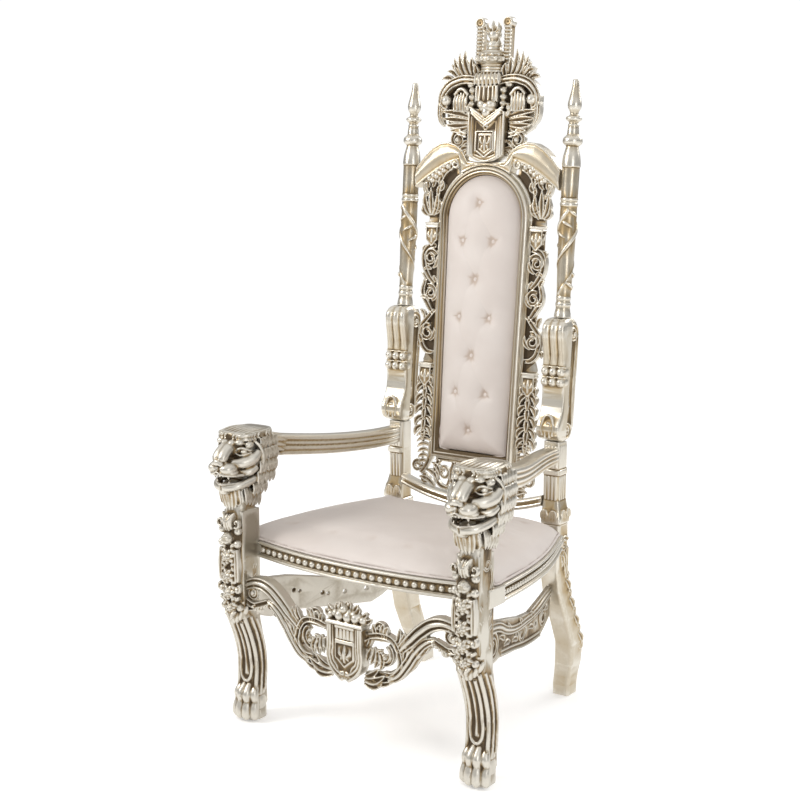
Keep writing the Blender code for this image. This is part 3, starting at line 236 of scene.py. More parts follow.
# A darker copy of the same leaf, used on the front legs, seat rails and aprons: painted shade on these lower
# parts.
LOWER_SHADED_LEAF = new_material("lower_shaded_silver_gold_leaf",
                         leaf_finish((0.425, 0.38, 0.305), (0.305, 0.215, 0.11), 0.88, 0.29))
PLAIN_LEAF = new_material("plain_silver_gold_leaf",
                          leaf_finish((0.575, 0.51, 0.4), (0.43, 0.315, 0.165), 0.78, 0.24))
SATIN = new_material("pale_satin", satin_finish)
FLOOR = new_material("pale_floor", floor_finish)


# Mesh helpers

def evaluated(thing):
    """The mesh of an object after its modifiers; the object is removed."""
    graph = bpy.context.evaluated_depsgraph_get()
    mesh = bpy.data.meshes.new_from_object(thing.evaluated_get(graph), depsgraph=graph)
    bpy.data.objects.remove(thing, do_unlink=True)
    return mesh


def loose(data):
    thing = bpy.data.objects.new("work", data)
    bpy.context.scene.collection.objects.link(thing)
    return thing


def modified(mesh, kind, **settings):
    thing = loose(mesh)
    modifier = thing.modifiers.new(kind, kind)
    for key, value in settings.items():
        setattr(modifier, key, value)
    return evaluated(thing)


def from_bmesh(bm):
    mesh = bpy.data.meshes.new("shape")
    bm.to_mesh(mesh)
    bm.free()
    return mesh


def joined(meshes):
    bm = bmesh.new()
    for mesh in meshes:
        bm.from_mesh(mesh)
    return from_bmesh(bm)


def turned(mesh, matrix):
    mesh = mesh.copy()
    mesh.transform(matrix)
    if matrix.determinant() < 0:
        mesh.flip_normals()
    return mesh


def shifted(mesh, x=0.0, y=0.0, z=0.0):
    return turned(mesh, Matrix.Translation((x, y, z)))


def mirrored(mesh):
    return turned(mesh, Matrix.Diagonal((-1.0, 1.0, 1.0, 1.0)))


def both_sides(mesh):
    return joined([mesh, mirrored(mesh)])


def ball(centre, radii, turn=(0.0, 0.0, 0.0), around=16, rings=10):
    bm = bmesh.new()
    bmesh.ops.create_uvsphere(bm, u_segments=around, v_segments=rings, radius=1.0)
    if not hasattr(radii, "__len__"):
        radii = (radii,) * 3
    bmesh.ops.scale(bm, vec=radii, verts=bm.verts)
    if any(turn):
        angles = [math.radians(angle) for angle in turn]
        matrix = Matrix.Rotation(angles[2], 4, "Z") @ Matrix.Rotation(angles[1], 4, "Y")
        bmesh.ops.transform(bm, matrix=matrix @ Matrix.Rotation(angles[0], 4, "X"), verts=bm.verts)
    bmesh.ops.translate(bm, vec=centre, verts=bm.verts)
    return from_bmesh(bm)


def box(low, high):
    bm = bmesh.new()
    bmesh.ops.create_cube(bm, size=1.0)
    bmesh.ops.scale(bm, vec=[b - a for a, b in zip(low, high)], verts=bm.verts)
    bmesh.ops.translate(bm, vec=[(a + b) / 2 for a, b in zip(low, high)], verts=bm.verts)
    return from_bmesh(bm)


def loft(sections, closed_ends=True):
    """A body through rings of equal length, with its ends closed."""
    bm = bmesh.new()
    rings = [[bm.verts.new(point) for point in section] for section in sections]
    count = len(rings[0])
    for lower, upper in zip(rings, rings[1:]):
        for i in range(count):
            j = (i + 1) % count
            bm.faces.new((lower[i], lower[j], upper[j], upper[i]))
    if closed_ends:
        bm.faces.new(list(reversed(rings[0])))
        bm.faces.new(rings[-1])
    bmesh.ops.recalc_face_normals(bm, faces=bm.faces)
    return from_bmesh(bm)


def lathe(profile, centre=(0.0, 0.0), steps=32):
    """A turned body from (radius, height) points, its ends closed on the axis."""
    rings = []
    for radius, height in profile:
        ring = []
        for i in range(steps):
            angle = 2 * math.pi * i / steps
            ring.append((centre[0] + radius * math.cos(angle), centre[1] + radius * math.sin(angle),
                         height))
        rings.append(ring)
    return loft(rings)


def slab(outline, front, back, holes=()):
    """A flat outline of (x, z) points, from depth front to depth back."""
    curve = bpy.data.curves.new("outline", "CURVE")
    curve.dimensions = "2D"
    curve.fill_mode = "BOTH"
    curve.extrude = (back - front) / 2
    for ring in (outline, *holes):
        spline = curve.splines.new("POLY")
        spline.points.add(len(ring) - 1)
        spline.use_cyclic_u = True
        for knot, (x, z) in zip(spline.points, ring):
            knot.co = (x, z, 0.0, 1.0)
    mesh = evaluated(loose(curve))
    mesh.transform(Matrix.Translation((0.0, (front + back) / 2, 0.0)) @ Matrix.Rotation(math.pi / 2, 4,
                                                                                        "X"))
    bm = bmesh.new()
    bm.from_mesh(mesh)
    bmesh.ops.remove_doubles(bm, verts=bm.verts, dist=0.00001)
    bmesh.ops.recalc_face_normals(bm, faces=bm.faces)
    return from_bmesh(bm)


# Cross-sections of carved strokes, half width 1: (across, towards the front)
SCOOP = ((-1.0, -0.9), (-1.0, 0.15), (-0.84, 0.6), (-0.6, 0.55), (-0.3, 0.12), (0.0, 0.0),
         (0.3, 0.12), (0.6, 0.55), (0.84, 0.6), (1.0, 0.15), (1.0, -0.9))
ROUND = ((-1.0, -0.9), (-1.0, 0.0), (-0.87, 0.5), (-0.5, 0.87), (0.0, 1.0), (0.5, 0.87), (0.87, 0.5),
         (1.0, 0.0), (1.0, -0.9))
RIDGE = ((-1.0, -0.9), (-1.0, 0.1), (-0.55, 0.42), (-0.15, 0.95), (0.0, 1.05), (0.15, 0.95),
         (0.55, 0.42), (1.0, 0.1), (1.0, -0.9))
BAND = ((-1.0, -0.9), (-1.0, 0.35), (-0.86, 0.62), (-0.68, 0.55), (-0.56, 0.22), (-0.42, 0.22),
        (-0.28, 0.6),
        (0.0, 0.74), (0.28, 0.6), (0.42, 0.22), (0.56, 0.22), (0.68, 0.55), (0.86, 0.62), (1.0, 0.35),
        (1.0, -0.9))


def carve(paths, profile=ROUND, flat=1.0, lift=0.0, smooth=6):
    """Tapered strokes of one cross-section in the x-z plane; knots are (x, z, half width[, forward])."""
    edge = bpy.data.curves.new("profile", "CURVE")
    edge.dimensions = "2D"
    ring = edge.splines.new("POLY")
    ring.points.add(len(profile) - 1)
    ring.use_cyclic_u = True
    for knot, (across, towards) in zip(ring.points, profile):
        knot.co = (across, towards, 0.0, 1.0)
    shape = loose(edge)
    curve = bpy.data.curves.new("stroke", "CURVE")
    curve.dimensions = "3D"
    curve.twist_mode = "Z_UP"
    curve.bevel_mode = "OBJECT"
    curve.bevel_object = shape
    curve.use_fill_caps = True
    curve.resolution_u = smooth
    for path in paths:
        spline = curve.splines.new("BEZIER")
        spline.bezier_points.add(len(path) - 1)
        for knot, (x, z, half, *forward) in zip(spline.bezier_points, path):
            knot.co = (x, z, forward[0] if forward else 0.0)
            knot.radius = half
            knot.handle_left_type = "AUTO"
            knot.handle_right_type = "AUTO"
    mesh = evaluated(loose(curve))
    bpy.data.objects.remove(shape, do_unlink=True)
    turn = Matrix.Rotation(math.pi / 2, 4, "X")
    mesh.transform(Matrix.Translation((0.0, -lift, 0.0)) @ Matrix.Diagonal((1.0, flat, 1.0, 1.0)) @ turn)
    return mesh


def strands(paths, smooth=6, sides=2):
    """Round tapered strokes anywhere in space; knots are (x, y, z, radius)."""
    curve = bpy.data.curves.new("strand", "CURVE")
    curve.dimensions = "3D"
    curve.bevel_depth = 1.0
    curve.bevel_resolution = sides
    curve.use_fill_caps = True
    curve.resolution_u = smooth
    for path in paths:
        spline = curve.splines.new("BEZIER")
        spline.bezier_points.add(len(path) - 1)
        for knot, (x, y, z, radius) in zip(spline.bezier_points, path):
            knot.co = (x, y, z)
            knot.radius = radius
            knot.handle_left_type = "AUTO"
            knot.handle_right_type = "AUTO"
    return evaluated(loose(curve))


def volute(centre, radius, start, turns, thick, steps=12, shrink=0.74):
    """A scroll that winds inwards from its outer end; negative turns wind clockwise."""
    path = []
    for i in range(steps + 1):
        share = i / steps
        angle = math.radians(start) + turns * 2 * math.pi * share
        reach = radius * (1 - shrink * share)
        path.append((centre[0] + reach * math.cos(angle), centre[1] + reach * math.sin(angle),
                     thick * (1 - 0.45 * share)))
    return path


def leaf(root, tip, width, bend=0.0, forward=0.0):
    """A pointed leaf from root to tip, bowed sideways by bend and curling forward at its tip."""
    (x0, z0), (x1, z1) = root, tip
    path = []
    for share, half in ((0.0, 0.45), (0.3, 0.85), (0.55, 1.0), (0.8, 0.62), (1.0, 0.12)):
        bow = 4 * share * (1 - share) * bend
        x = x0 + (x1 - x0) * share - bow * (z1 - z0)
        z = z0 + (z1 - z0) * share + bow * (x1 - x0)
        path.append((x, z, width * half, forward * share * share))
    return path


def rosette(x, z, radius, lift, petals=6, tall=0.6):
    """A flower facing front: two rings of petals round a drilled heart."""
    shapes = []
    for reach, size, forward, twist in ((0.66, 0.36, 0.2, 0.0), (0.36, 0.26, 0.62, 0.5)):
        for i in range(petals):
            angle = 2 * math.pi * (i + twist + 0.25) / petals
            centre = (x + radius * reach * math.cos(angle), -lift - radius * tall * forward,
                      z + radius * reach * math.sin(angle))
            shapes.append(ball(centre, (radius * size, radius * tall * 0.62, radius * size * 0.72),
                               (0, -math.degrees(angle), 0), around=12, rings=8))
    ring = [(x + radius * 0.17 * math.cos(a), -lift - radius * tall * 1.25, z + radius * 0.17 * math.sin(a),
             radius * 0.1) for a in [2 * math.pi * k / 8 for k in range(9)]]
    shapes.append(strands([ring], smooth=2, sides=1))
    shapes.append(ball((x, -lift + radius * 0.1, z), (radius * 0.88, radius * 0.4, radius * 0.88)))
    return shapes


def hollow_maps(mesh):
    """Stores how deep in a recess each vertex lies, at two scales, for the patina and gold tone of the leaf
    and for the painted shade in the cloth's folds.
    """
    count = len(mesh.vertices)
    spots = np.empty(count * 3, np.float32)
    mesh.vertices.foreach_get("co", spots)
    spots = spots.reshape(-1, 3).astype(float)
    facing = np.empty(count * 3, np.float32)
    mesh.vertex_normals.foreach_get("vector", facing)
    facing = facing.reshape(-1, 3)
    ends = np.empty(len(mesh.edges) * 2, np.int32)
    mesh.edges.foreach_get("vertices", ends)
    ends = ends.reshape(-1, 2)
    a = np.concatenate([ends[:, 0], ends[:, 1]])
    b = np.concatenate([ends[:, 1], ends[:, 0]])
    degree = np.maximum(np.bincount(a, minlength=count), 1)
    eased = spots.copy()
    for name, rounds, scale in (("fine", 6, 0.00055), ("deep", 50, 0.003)):
        for _ in range(rounds):
            pulled = np.stack([np.bincount(a, eased[b, k], minlength=count) for k in range(3)], 1)
            eased = 0.4 * eased + 0.6 * pulled / degree[:, None]
        depth = ((eased - spots) * facing).sum(1) / scale
        layer = mesh.attributes.new(name, "FLOAT", "POINT")
        layer.data.foreach_set("value", np.clip(depth, -1.0, 1.0).astype(np.float32))


FINE_GRAIN = 0.0015
COARSE_GRAIN = 0.0018


def fused(meshes, voxel, limit=100000, alike=False, ease=1):
    """Overlapping shapes grown into one carved body."""
    skin = modified(joined(meshes), "REMESH", mode="VOXEL", voxel_size=voxel)
    if alike:
        skin = modified(skin, "MIRROR", use_axis=(True, False, False), use_bisect_axis=(True, False, False),
                        merge_threshold=0.00001)
    if ease:
        skin = modified(skin, "SMOOTH", factor=0.5, iterations=ease)
    if 2 * len(skin.polygons) > limit:
        skin = modified(skin, "DECIMATE", ratio=limit / (2 * len(skin.polygons)))
    return skin


def cut_to(mesh, low, high):
    """Only what lies between two corners is kept, with flat closed faces there."""
    bounds = loose(box(low, high))
    kept = modified(mesh, "BOOLEAN", object=bounds, operation="INTERSECT", solver="EXACT")
    bpy.data.objects.remove(bounds, do_unlink=True)
    return kept


MADE = []


def kept_inside(mesh):
    """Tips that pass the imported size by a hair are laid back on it."""
    spots = np.empty(len(mesh.vertices) * 3, np.float32)
    mesh.vertices.foreach_get("co", spots)
    spots = np.clip(spots.reshape(-1, 3), np.array(cad_low) + 0.0001, np.array(cad_high) - 0.0001)
    spots[:, 2] = np.where(spots[:, 2] < 0.0003, 0.0, spots[:, 2])
    mesh.vertices.foreach_set("co", spots.astype(np.float32).ravel())


def place(name, mesh, nodes, material, where, slot="leaf_wood", sharp=40.0):
    """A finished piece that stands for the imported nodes."""
    mesh.transform(where)
    kept_inside(mesh)
    mesh.materials.clear()
    mesh.materials.append(material)
    mesh.shade_smooth()
    if sharp:
        mesh.set_sharp_from_angle(angle=math.radians(sharp))
    if "fine" not in mesh.attributes:
        hollow_maps(mesh)
    piece = bpy.data.objects.new(name, mesh)
    bpy.context.scene.collection.objects.link(piece)
    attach(piece, "root")
    if nodes:
        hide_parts(*nodes)
    MADE.append(piece)
    return piece


def pair(name, mesh, node, material, where, **extra):
    """The right piece and its mirror image on the left."""
    place(name + "_left", mirrored(mesh), [node + "_left"], material, where, **extra)
    place(name + "_right", mesh, [node + "_right"], material, where, **extra)


# Front legs: a lion's head and mane, a block with rosettes, a fluted shank and a paw

def mirror_paths(paths):
    return paths + [[(-x, *rest) for x, *rest in path] for path in paths]


def lion_masses():
    """The big rounded forms of the head, grown together and eased."""
    shapes = [
        ball((0.0, 0.038, 0.733), (0.05, 0.06, 0.05), around=24, rings=16),
        ball((0.0, -0.002, 0.757), (0.038, 0.036, 0.023), around=24, rings=16),
        ball((0.0, 0.02, 0.684), (0.04, 0.034, 0.022)),
        ball((0.0, -0.02, 0.715), (0.036, 0.044, 0.022), around=20, rings=14),
    ]
    right = [
        [(0.0075, -0.014, 0.768, 0.015), (0.008, -0.042, 0.757, 0.015), (0.0085, -0.062, 0.739, 0.0145),
         (0.0085, -0.0665, 0.73, 0.012)],
        [(0.022, -0.044, 0.725, 0.009), (0.042, -0.022, 0.724, 0.015), (0.055, 0.004, 0.733, 0.0165),
         (0.06, 0.022, 0.75, 0.01)],
        [(0.034, -0.028, 0.699, 0.006), (0.05, -0.004, 0.699, 0.0115), (0.058, 0.016, 0.71, 0.0085)],
        [(0.05, 0.016, 0.678, 0.0105), (0.043, -0.018, 0.668, 0.0105), (0.027, -0.044, 0.661, 0.0105),
         (0.0, -0.055, 0.659, 0.0115)],
    ]
    shapes.append(strands(mirror_paths(right), sides=3))
    for side in (-1, 1):
        shapes += [
            ball((side * 0.019, -0.052, 0.711), (0.0225, 0.0265, 0.017), around=20, rings=14),
            ball((side * 0.022, -0.046, 0.701), (0.021, 0.023, 0.0085), around=20, rings=14),
            ball((side * 0.012, -0.027, 0.774), (0.012, 0.013, 0.0085)),
            ball((side * 0.031, -0.02, 0.776), (0.0125, 0.013, 0.0085)),
            ball((side * 0.048, -0.002, 0.769), (0.011, 0.014, 0.0095)),
        ]
    shapes += [ball((0.0, -0.016, 0.657), (0.036, 0.036, 0.01)),
               ball((0.0, -0.046, 0.65), (0.018, 0.014, 0.011))]
    return fused(shapes, 0.002, ease=7)


def lion_face():
    """Nose, nostrils, lids, eyes, folds, whisker dots and teeth over the masses."""
    shapes = [lion_masses(), ball((0.0, -0.077, 0.729), (0.0125, 0.006, 0.008)),
              ball((0.0, -0.022, 0.669), (0.017, 0.026, 0.005))]
    for side in (-1, 1):
        shapes += [
            ball((side * 0.0115, -0.0735, 0.7255), (0.007, 0.007, 0.0062)),
            ball((side * 0.0375, -0.0125, 0.7525), (0.0105, 0.0105, 0.0088)),
            ball((side * 0.0395, -0.0225, 0.752), (0.003, 0.0024, 0.003)),
        ]
        for row in range(3):
            for i in range(3):
                spot = (side * (0.012 + 0.0085 * i), -0.0775 + 0.005 * i + 0.003 * row,
                        0.7155 - 0.0055 * row)
                shapes.append(ball(spot, 0.0015, around=8, rings=6))
    right = [
        [(0.02, -0.028, 0.75, 0.002), (0.036, -0.025, 0.762, 0.003), (0.054, -0.002, 0.754, 0.0022)],
        [(0.02, -0.028, 0.748, 0.0018), (0.036, -0.024, 0.743, 0.0026), (0.054, -0.001, 0.749, 0.002)],
        [(0.0, -0.078, 0.705, 0.0024), (0.016, -0.075, 0.6985, 0.0034), (0.034, -0.056, 0.6945, 0.0036),
         (0.046, -0.024, 0.693, 0.004)],
        [(0.046, -0.006, 0.678, 0.0028), (0.03, -0.045, 0.6715, 0.0028), (0.0, -0.064, 0.669, 0.0032)],
        [(0.05, 0.012, 0.78, 0.004), (0.064, 0.026, 0.756, 0.005), (0.0655, 0.03, 0.723, 0.0054),
         (0.058, 0.022, 0.692, 0.0052), (0.043, 0.008, 0.665, 0.0044), (0.03, -0.016, 0.648, 0.0034)],
        [(0.003, -0.064, 0.756, 0.0018), (0.016, -0.07, 0.736, 0.002)],
    ]
    for x, y, tall in ((0.0045, -0.07, 0.005), (0.013, -0.068, 0.0055), (0.0235, -0.059, 0.0125),
                       (0.032, -0.047, 0.006), (0.038, -0.035, 0.0055)):
        right.append([(x, y, 0.698, 0.004), (x * 0.98, y + 0.002, 0.696 - tall * 0.6, 0.0034),
                      (x * 0.96, y + 0.003, 0.695 - tall, 0.0012)])
    for x, y, tall in ((0.0045, -0.0575, 0.0045), (0.0125, -0.055, 0.005), (0.02, -0.051, 0.0115),
                       (0.03, -0.037, 0.005)):
        right.append([(x, y, 0.666, 0.004), (x, y, 0.667 + tall * 0.6, 0.0032),
                      (x, y, 0.668 + tall, 0.0012)])
    shapes.append(strands(mirror_paths(right), sides=3))
    return shapes


def lion_cap():
    """The flat braided band over the brow, level with the arm behind it."""
    plan = ((0.779, 0.051, -0.018), (0.783, 0.0545, -0.0235), (0.795, 0.0535, -0.0225),
            (0.7995, 0.049, -0.018))
    sections = []
    for z, half, front in plan:
        middle = (front + 0.104) / 2
        sections.append(rounded_section(0.0, middle, half, middle - front, z, 36, 0.55))
    shapes = [loft(sections), ball((0.0, 0.044, 0.794), (0.04, 0.052, 0.0085), around=20, rings=10)]
    braids = []
    turns = 26
    for i in range(turns):
        angle = math.radians(-205 + 230 * i / (turns - 1))
        c, s = math.cos(angle), math.sin(angle)
        x = 0.0545 * math.copysign(abs(c) ** 0.55, c)
        y = 0.0405 + 0.064 * math.copysign(abs(s) ** 0.55, s)
        along = Vector((-s, c, 0.0))
        for low, high in ((0.779, 0.7885), (0.7975, 0.7885)):
            start = Vector((x, y, low)) - along * 0.0045
            end = Vector((x, y, high)) + along * 0.0045
            braids.append([(*start, 0.0016), (*((start + end) / 2), 0.0036), (*end, 0.0016)])
    for i in range(7):
        x = 0.013 * (i - 3)
        braids.append([(x, -0.014, 0.7975, 0.003), (x * 1.05, 0.024, 0.8005, 0.0042),
                       (x * 0.95, 0.064, 0.799, 0.0038),
                       (x * 0.75, 0.102, 0.793, 0.002)])
    shapes.append(strands(braids, smooth=3))
    return shapes


def lock(x, y, z, length, back, width):
    """One lock of three hairs that falls in a slight wave."""
    hairs = []
    for k in (-1, 0, 1):
        side = math.copysign(1.0, x)
        off = 0.0048 * k
        hairs.append([(x, y + off, z, width * 0.6), (x + side * 0.0025, y + off + back * 0.35,
                                                     z - length * 0.35, width),
                      (x + side * 0.0005, y + off * 0.8 + back * 0.75, z - length * 0.7, width * 0.85),
                      (x - side * 0.003, y + off * 0.3 + back, z - length, width * 0.25)])
    return hairs


def lion_mane():
    """Rows of locks from the cap down both sides to the arm and the shoulder, and the beard."""
    shapes = [
        ball((0.0, 0.064, 0.728), (0.055, 0.046, 0.06), around=24, rings=16),
        ball((0.0, 0.052, 0.676), (0.047, 0.04, 0.056), around=20, rings=14),
        ball((0.0, 0.01, 0.628), (0.037, 0.036, 0.05), around=20, rings=14),
        box((-0.038, 0.046, 0.716), (0.018, 0.112, 0.776)),
    ]
    hair = []
    for side in (-1, 1):
        for row in range(5):
            z = 0.782 - 0.029 * row
            for i in range(5 - (row > 3)):
                y = 0.034 + 0.0155 * i - 0.0045 * row
                middle = (z - 0.016 - 0.722) / 0.105
                wide = 0.064 * math.sqrt(max(0.1, 1 - middle * middle)) - 0.0016 * i
                hair += lock(side * max(wide, 0.036), y, z, 0.038, 0.006 if i > 1 else 0.002, 0.0033)
        for i in range(5):
            y = -0.012 + 0.0135 * i
            hair += lock(side * (0.04 - 0.0012 * i), y, 0.655 - 0.003 * i, 0.048, 0.008, 0.0036)
    for i in range(-3, 4):
        x = 0.01 * i
        for k in (-1, 0, 1):
            hair.append([(x + 0.003 * k, -0.04 + 0.0012 * i * i, 0.652, 0.0026),
                         (x * 1.05 + 0.0034 * k, -0.036 + 0.001 * i * i, 0.634, 0.0032),
                         (x * 0.95 + 0.0026 * k, -0.031 + 0.0008 * i * i, 0.612, 0.0028),
                         (x * 0.85 + 0.0008 * k, -0.028, 0.592 + 0.002 * i * i, 0.0014)])
    shapes.append(strands(hair, smooth=3))
    return shapes


def shank_front(z):
    """Depth of the leg's front surface by height."""
    heights = (0.05, 0.11, 0.17, 0.23, 0.29, 0.34, 0.4, 0.5, 0.6, 0.64)
    depths = (0.016, 0.024, 0.025, 0.011, -0.014, -0.033, -0.038, -0.036, -0.026, -0.014)
    return float(np.interp(z, heights, depths))


def rounded_section(x, y, half_x, half_y, z, count=32, power=0.62):
    ring = []
    for i in range(count):
        angle = 2 * math.pi * (i + 0.5) / count
        c, s = math.cos(angle), math.sin(angle)
        ring.append((x + half_x * math.copysign(abs(c) ** power, c),
                     y + half_y * math.copysign(abs(s) ** power, s), z))
    return ring


def leg_shaft():
    """The cabriole body with its flutes, cuff, block and flowers."""
    stations = ((0.04, 0.054, 0.03, 0.034), (0.08, 0.055, 0.029, 0.032), (0.11, 0.056, 0.029, 0.03),
                (0.17, 0.056, 0.029, 0.029), (0.23, 0.044, 0.031, 0.031), (0.29, 0.024, 0.034, 0.036),
                (0.34, 0.012, 0.035, 0.043), (0.4, 0.006, 0.035, 0.042), (0.5, 0.006, 0.033, 0.04),
                (0.6, 0.014, 0.032, 0.036), (0.65, 0.024, 0.032, 0.038))
    shapes = [
        loft([rounded_section(0.0, y, a, b, z) for z, y, a, b in stations]),
        box((-0.034, -0.018, 0.3), (0.029, 0.05, 0.59)),
        box((-0.034, 0.02, RAIL_TOP - RAIL_HEIGHT), (0.038, 0.088, RAIL_TOP)),
    ]
    ribs = []
    for side in (-1, 1):
        outer = [(side * 0.0165, z) for z in (0.285, 0.23, 0.18, 0.135)]
        ribs.append([(x, shank_front(z) + 0.001, z, 0.0048) for x, z in outer]
                    + [(side * 0.01, shank_front(0.114), 0.116, 0.005),
                       (0.0, shank_front(0.11) - 0.001, 0.109, 0.0052)])
        ribs.append([(side * 0.029, shank_front(z) + 0.0065, z, 0.0056) for z in (0.3, 0.23, 0.17, 0.1,
                                                                                  0.07)])
        ribs.append([(side * (0.0325 if z > 0.2 else 0.03), shank_front(z) + 0.026, z, 0.0046)
                     for z in (0.3, 0.23, 0.17, 0.11, 0.07)])
        ribs.append([(side * (0.0325 if z > 0.2 else 0.03), shank_front(z) + 0.044, z, 0.0046)
                     for z in (0.29, 0.23, 0.17, 0.11, 0.08)])
    ribs.append([(0.0, shank_front(z) + 0.0005, z, 0.0036) for z in (0.29, 0.23, 0.17, 0.13)])
    shapes.append(strands(ribs))
    for i in range(-3, 4):
        x = 0.0108 * i
        z = 0.3 + 0.0022 * i * i
        shapes.append(ball((x, shank_front(z) - 0.001 + 0.0016 * i * i, z), (0.0068, 0.008, 0.018),
                           (0, 9 * i, 0)))
        shapes.append(ball((x * 0.9, shank_front(0.33) - 0.003 + 0.0016 * i * i, z + 0.026), 0.0045,
                           around=10, rings=7))
    return shapes


def leg_flowers():
    """Rosettes down the front of the block, with berries and leafy scrolls beside them."""
    shapes = []
    for z, radius in ((0.33, 0.019), (0.374, 0.0205), (0.419, 0.021), (0.472, 0.0215)):
        shapes += rosette(0.0, z, radius, -shank_front(z) + 0.003, petals=7, tall=0.5)
    shapes.append(ball((0.002, shank_front(0.519) - 0.004, 0.519), (0.0165, 0.014, 0.017)))
    for i in range(5):
        angle = math.radians(72 * i + 18)
        shapes.append(ball((0.002 + 0.008 * math.cos(angle), shank_front(0.519) - 0.012,
                            0.519 + 0.008 * math.sin(angle)),
                           (0.0062, 0.007, 0.0062)))
    for side in (-1, 1):
        for z, radius in ((0.332, 0.0095), (0.382, 0.0085), (0.506, 0.0105), (0.54, 0.0105)):
            shapes.append(ball((side * 0.0265, shank_front(z) + 0.004, z), (radius, 0.011, radius)))
    front = []
    for side in (-1, 1):
        front += [
            volute((side * 0.0245, 0.385), 0.0135, 60 if side > 0 else 120, -side * 1.0, 0.004),
            [(side * 0.0215, 0.4, 0.0036), (side * 0.0225, 0.44, 0.0042), (side * 0.0205, 0.49, 0.0036)],
            [(side * 0.03, 0.405, 0.0034), (side * 0.0315, 0.45, 0.0042), (side * 0.0285, 0.492, 0.0034)],
            volute((side * 0.027, 0.562), 0.012, 240 if side > 0 else -60, side * 1.0, 0.0038),
            leaf((side * 0.012, 0.545), (side * 0.02, 0.59), 0.0075, side * 0.15),
            leaf((side * 0.004, 0.54), (side * 0.004, 0.585), 0.0075),
            leaf((side * 0.02, 0.35), (side * 0.032, 0.365), 0.005),
        ]
        for z in (0.352, 0.397, 0.446, 0.496):
            front += [leaf((side * 0.01, z - 0.004), (side * 0.027, z + 0.01), 0.0062, side * 0.2),
                      leaf((side * 0.012, z + 0.002), (side * 0.026, z - 0.013), 0.0058, -side * 0.2)]
        front += [
            leaf((side * 0.006, 0.3), (side * 0.02, 0.322), 0.0055, side * 0.2),
        ]
    shapes.append(carve(front, ROUND, flat=2.0, lift=0.034))
    outward = [
        volute((0.012, 0.565), 0.014, 200, 1.1, 0.0045),
        [(0.026, 0.56, 0.004), (0.034, 0.53, 0.005), (0.026, 0.5, 0.0045)],
        volute((0.004, 0.48), 0.012, 60, -1.1, 0.004),
        [(0.016, 0.486, 0.004), (0.022, 0.44, 0.005), (0.016, 0.4, 0.004)],
        volute((0.006, 0.385), 0.012, 90, 1.1, 0.0042),
        leaf((0.02, 0.42), (0.036, 0.45), 0.0065, 0.1),
        leaf((0.02, 0.4), (0.038, 0.412), 0.0065, 0.1),
        leaf((0.012, 0.372), (0.03, 0.35), 0.007, 0.1),
        [(0.004, 0.368, 0.0045), (0.0, 0.335, 0.005), (0.004, 0.305, 0.004)],
        leaf((-0.008, 0.45), (-0.018, 0.474), 0.0055),
        leaf((-0.006, 0.42), (-0.018, 0.436), 0.0055),
    ]
    relief = carve(outward, SCOOP, flat=1.0)
    for side in (-1, 1):
        turn = Matrix.Rotation(side * math.pi / 2, 4, "Z")
        flipped = Matrix.Diagonal((side, 1.0, 1.0, 1.0))
        shapes.append(turned(turned(relief, flipped), Matrix.Translation((side * 0.0315, 0.002,
                                                                          0.0)) @ turn))
    return shapes


def paw():
    """Four knuckled toes with claws under a rounded foot."""
    shapes = [ball((0.0, 0.052, 0.046), (0.034, 0.038, 0.044), around=24, rings=16),
              ball((0.0, 0.054, 0.078), (0.032, 0.035, 0.034), around=24, rings=16),
              loft([rounded_section(0.0, 0.054, 0.03, 0.032, z, 32, 0.8) for z in (0.0, 0.012, 0.03)])]
    toes = []
    for x, y in ((-0.0285, 0.012), (-0.01, 0.001), (0.01, 0.001), (0.0285, 0.012)):
        toes.append([(x * 0.62, y + 0.036, 0.106, 0.007), (x * 0.82, y + 0.021, 0.092, 0.0095),
                     (x * 0.95, y + 0.011, 0.074, 0.0124), (x, y + 0.013, 0.055, 0.0106),
                     (x * 1.04, y + 0.008, 0.036, 0.0126), (x * 1.06, y + 0.0075, 0.019, 0.013),
                     (x * 1.05, y + 0.0125, 0.01, 0.0098)])
    shapes.append(strands(toes, sides=3))
    for x, y in ((-0.029, 0.012), (-0.0102, 0.001), (0.0102, 0.001), (0.029, 0.012)):
        shapes.append(strands([[(x, y + 0.0005, 0.03, 0.004), (x, y - 0.0015, 0.02, 0.0044),
                                (x, y + 0.002, 0.0085, 0.0016)]]))
    return shapes


def front_legs():
    shapes = lion_face() + lion_cap() + lion_mane() + leg_shaft() + leg_flowers() + paw()
    leg = shifted(fused(shapes, FINE_GRAIN, 84000), x=LEG_X)
    pair("lion_leg", leg, "front_leg", LOWER_SHADED_LEAF, SEAT, sharp=0)


# Crest: reeded panel with a shield, a drape under a crown, scrolled leaves, and two towers

def crest_board():
    half = [(0.0, 1.484), (0.03, 1.489), (0.056, 1.5), (0.078, 1.512), (0.104, 1.53), (0.106, 1.56),
            (0.132, 1.575), (0.142, 1.6), (0.146, 1.64), (0.138, 1.676), (0.112, 1.696), (0.128, 1.735),
            (0.108, 1.742), (0.094, 1.722), (0.076, 1.752), (0.05, 1.745), (0.04, 1.765), (0.02, 1.78),
            (0.0, 1.79)]
    return slab(half + [(-x, z) for x, z in reversed(half) if x > 0], 0.0, 0.018)


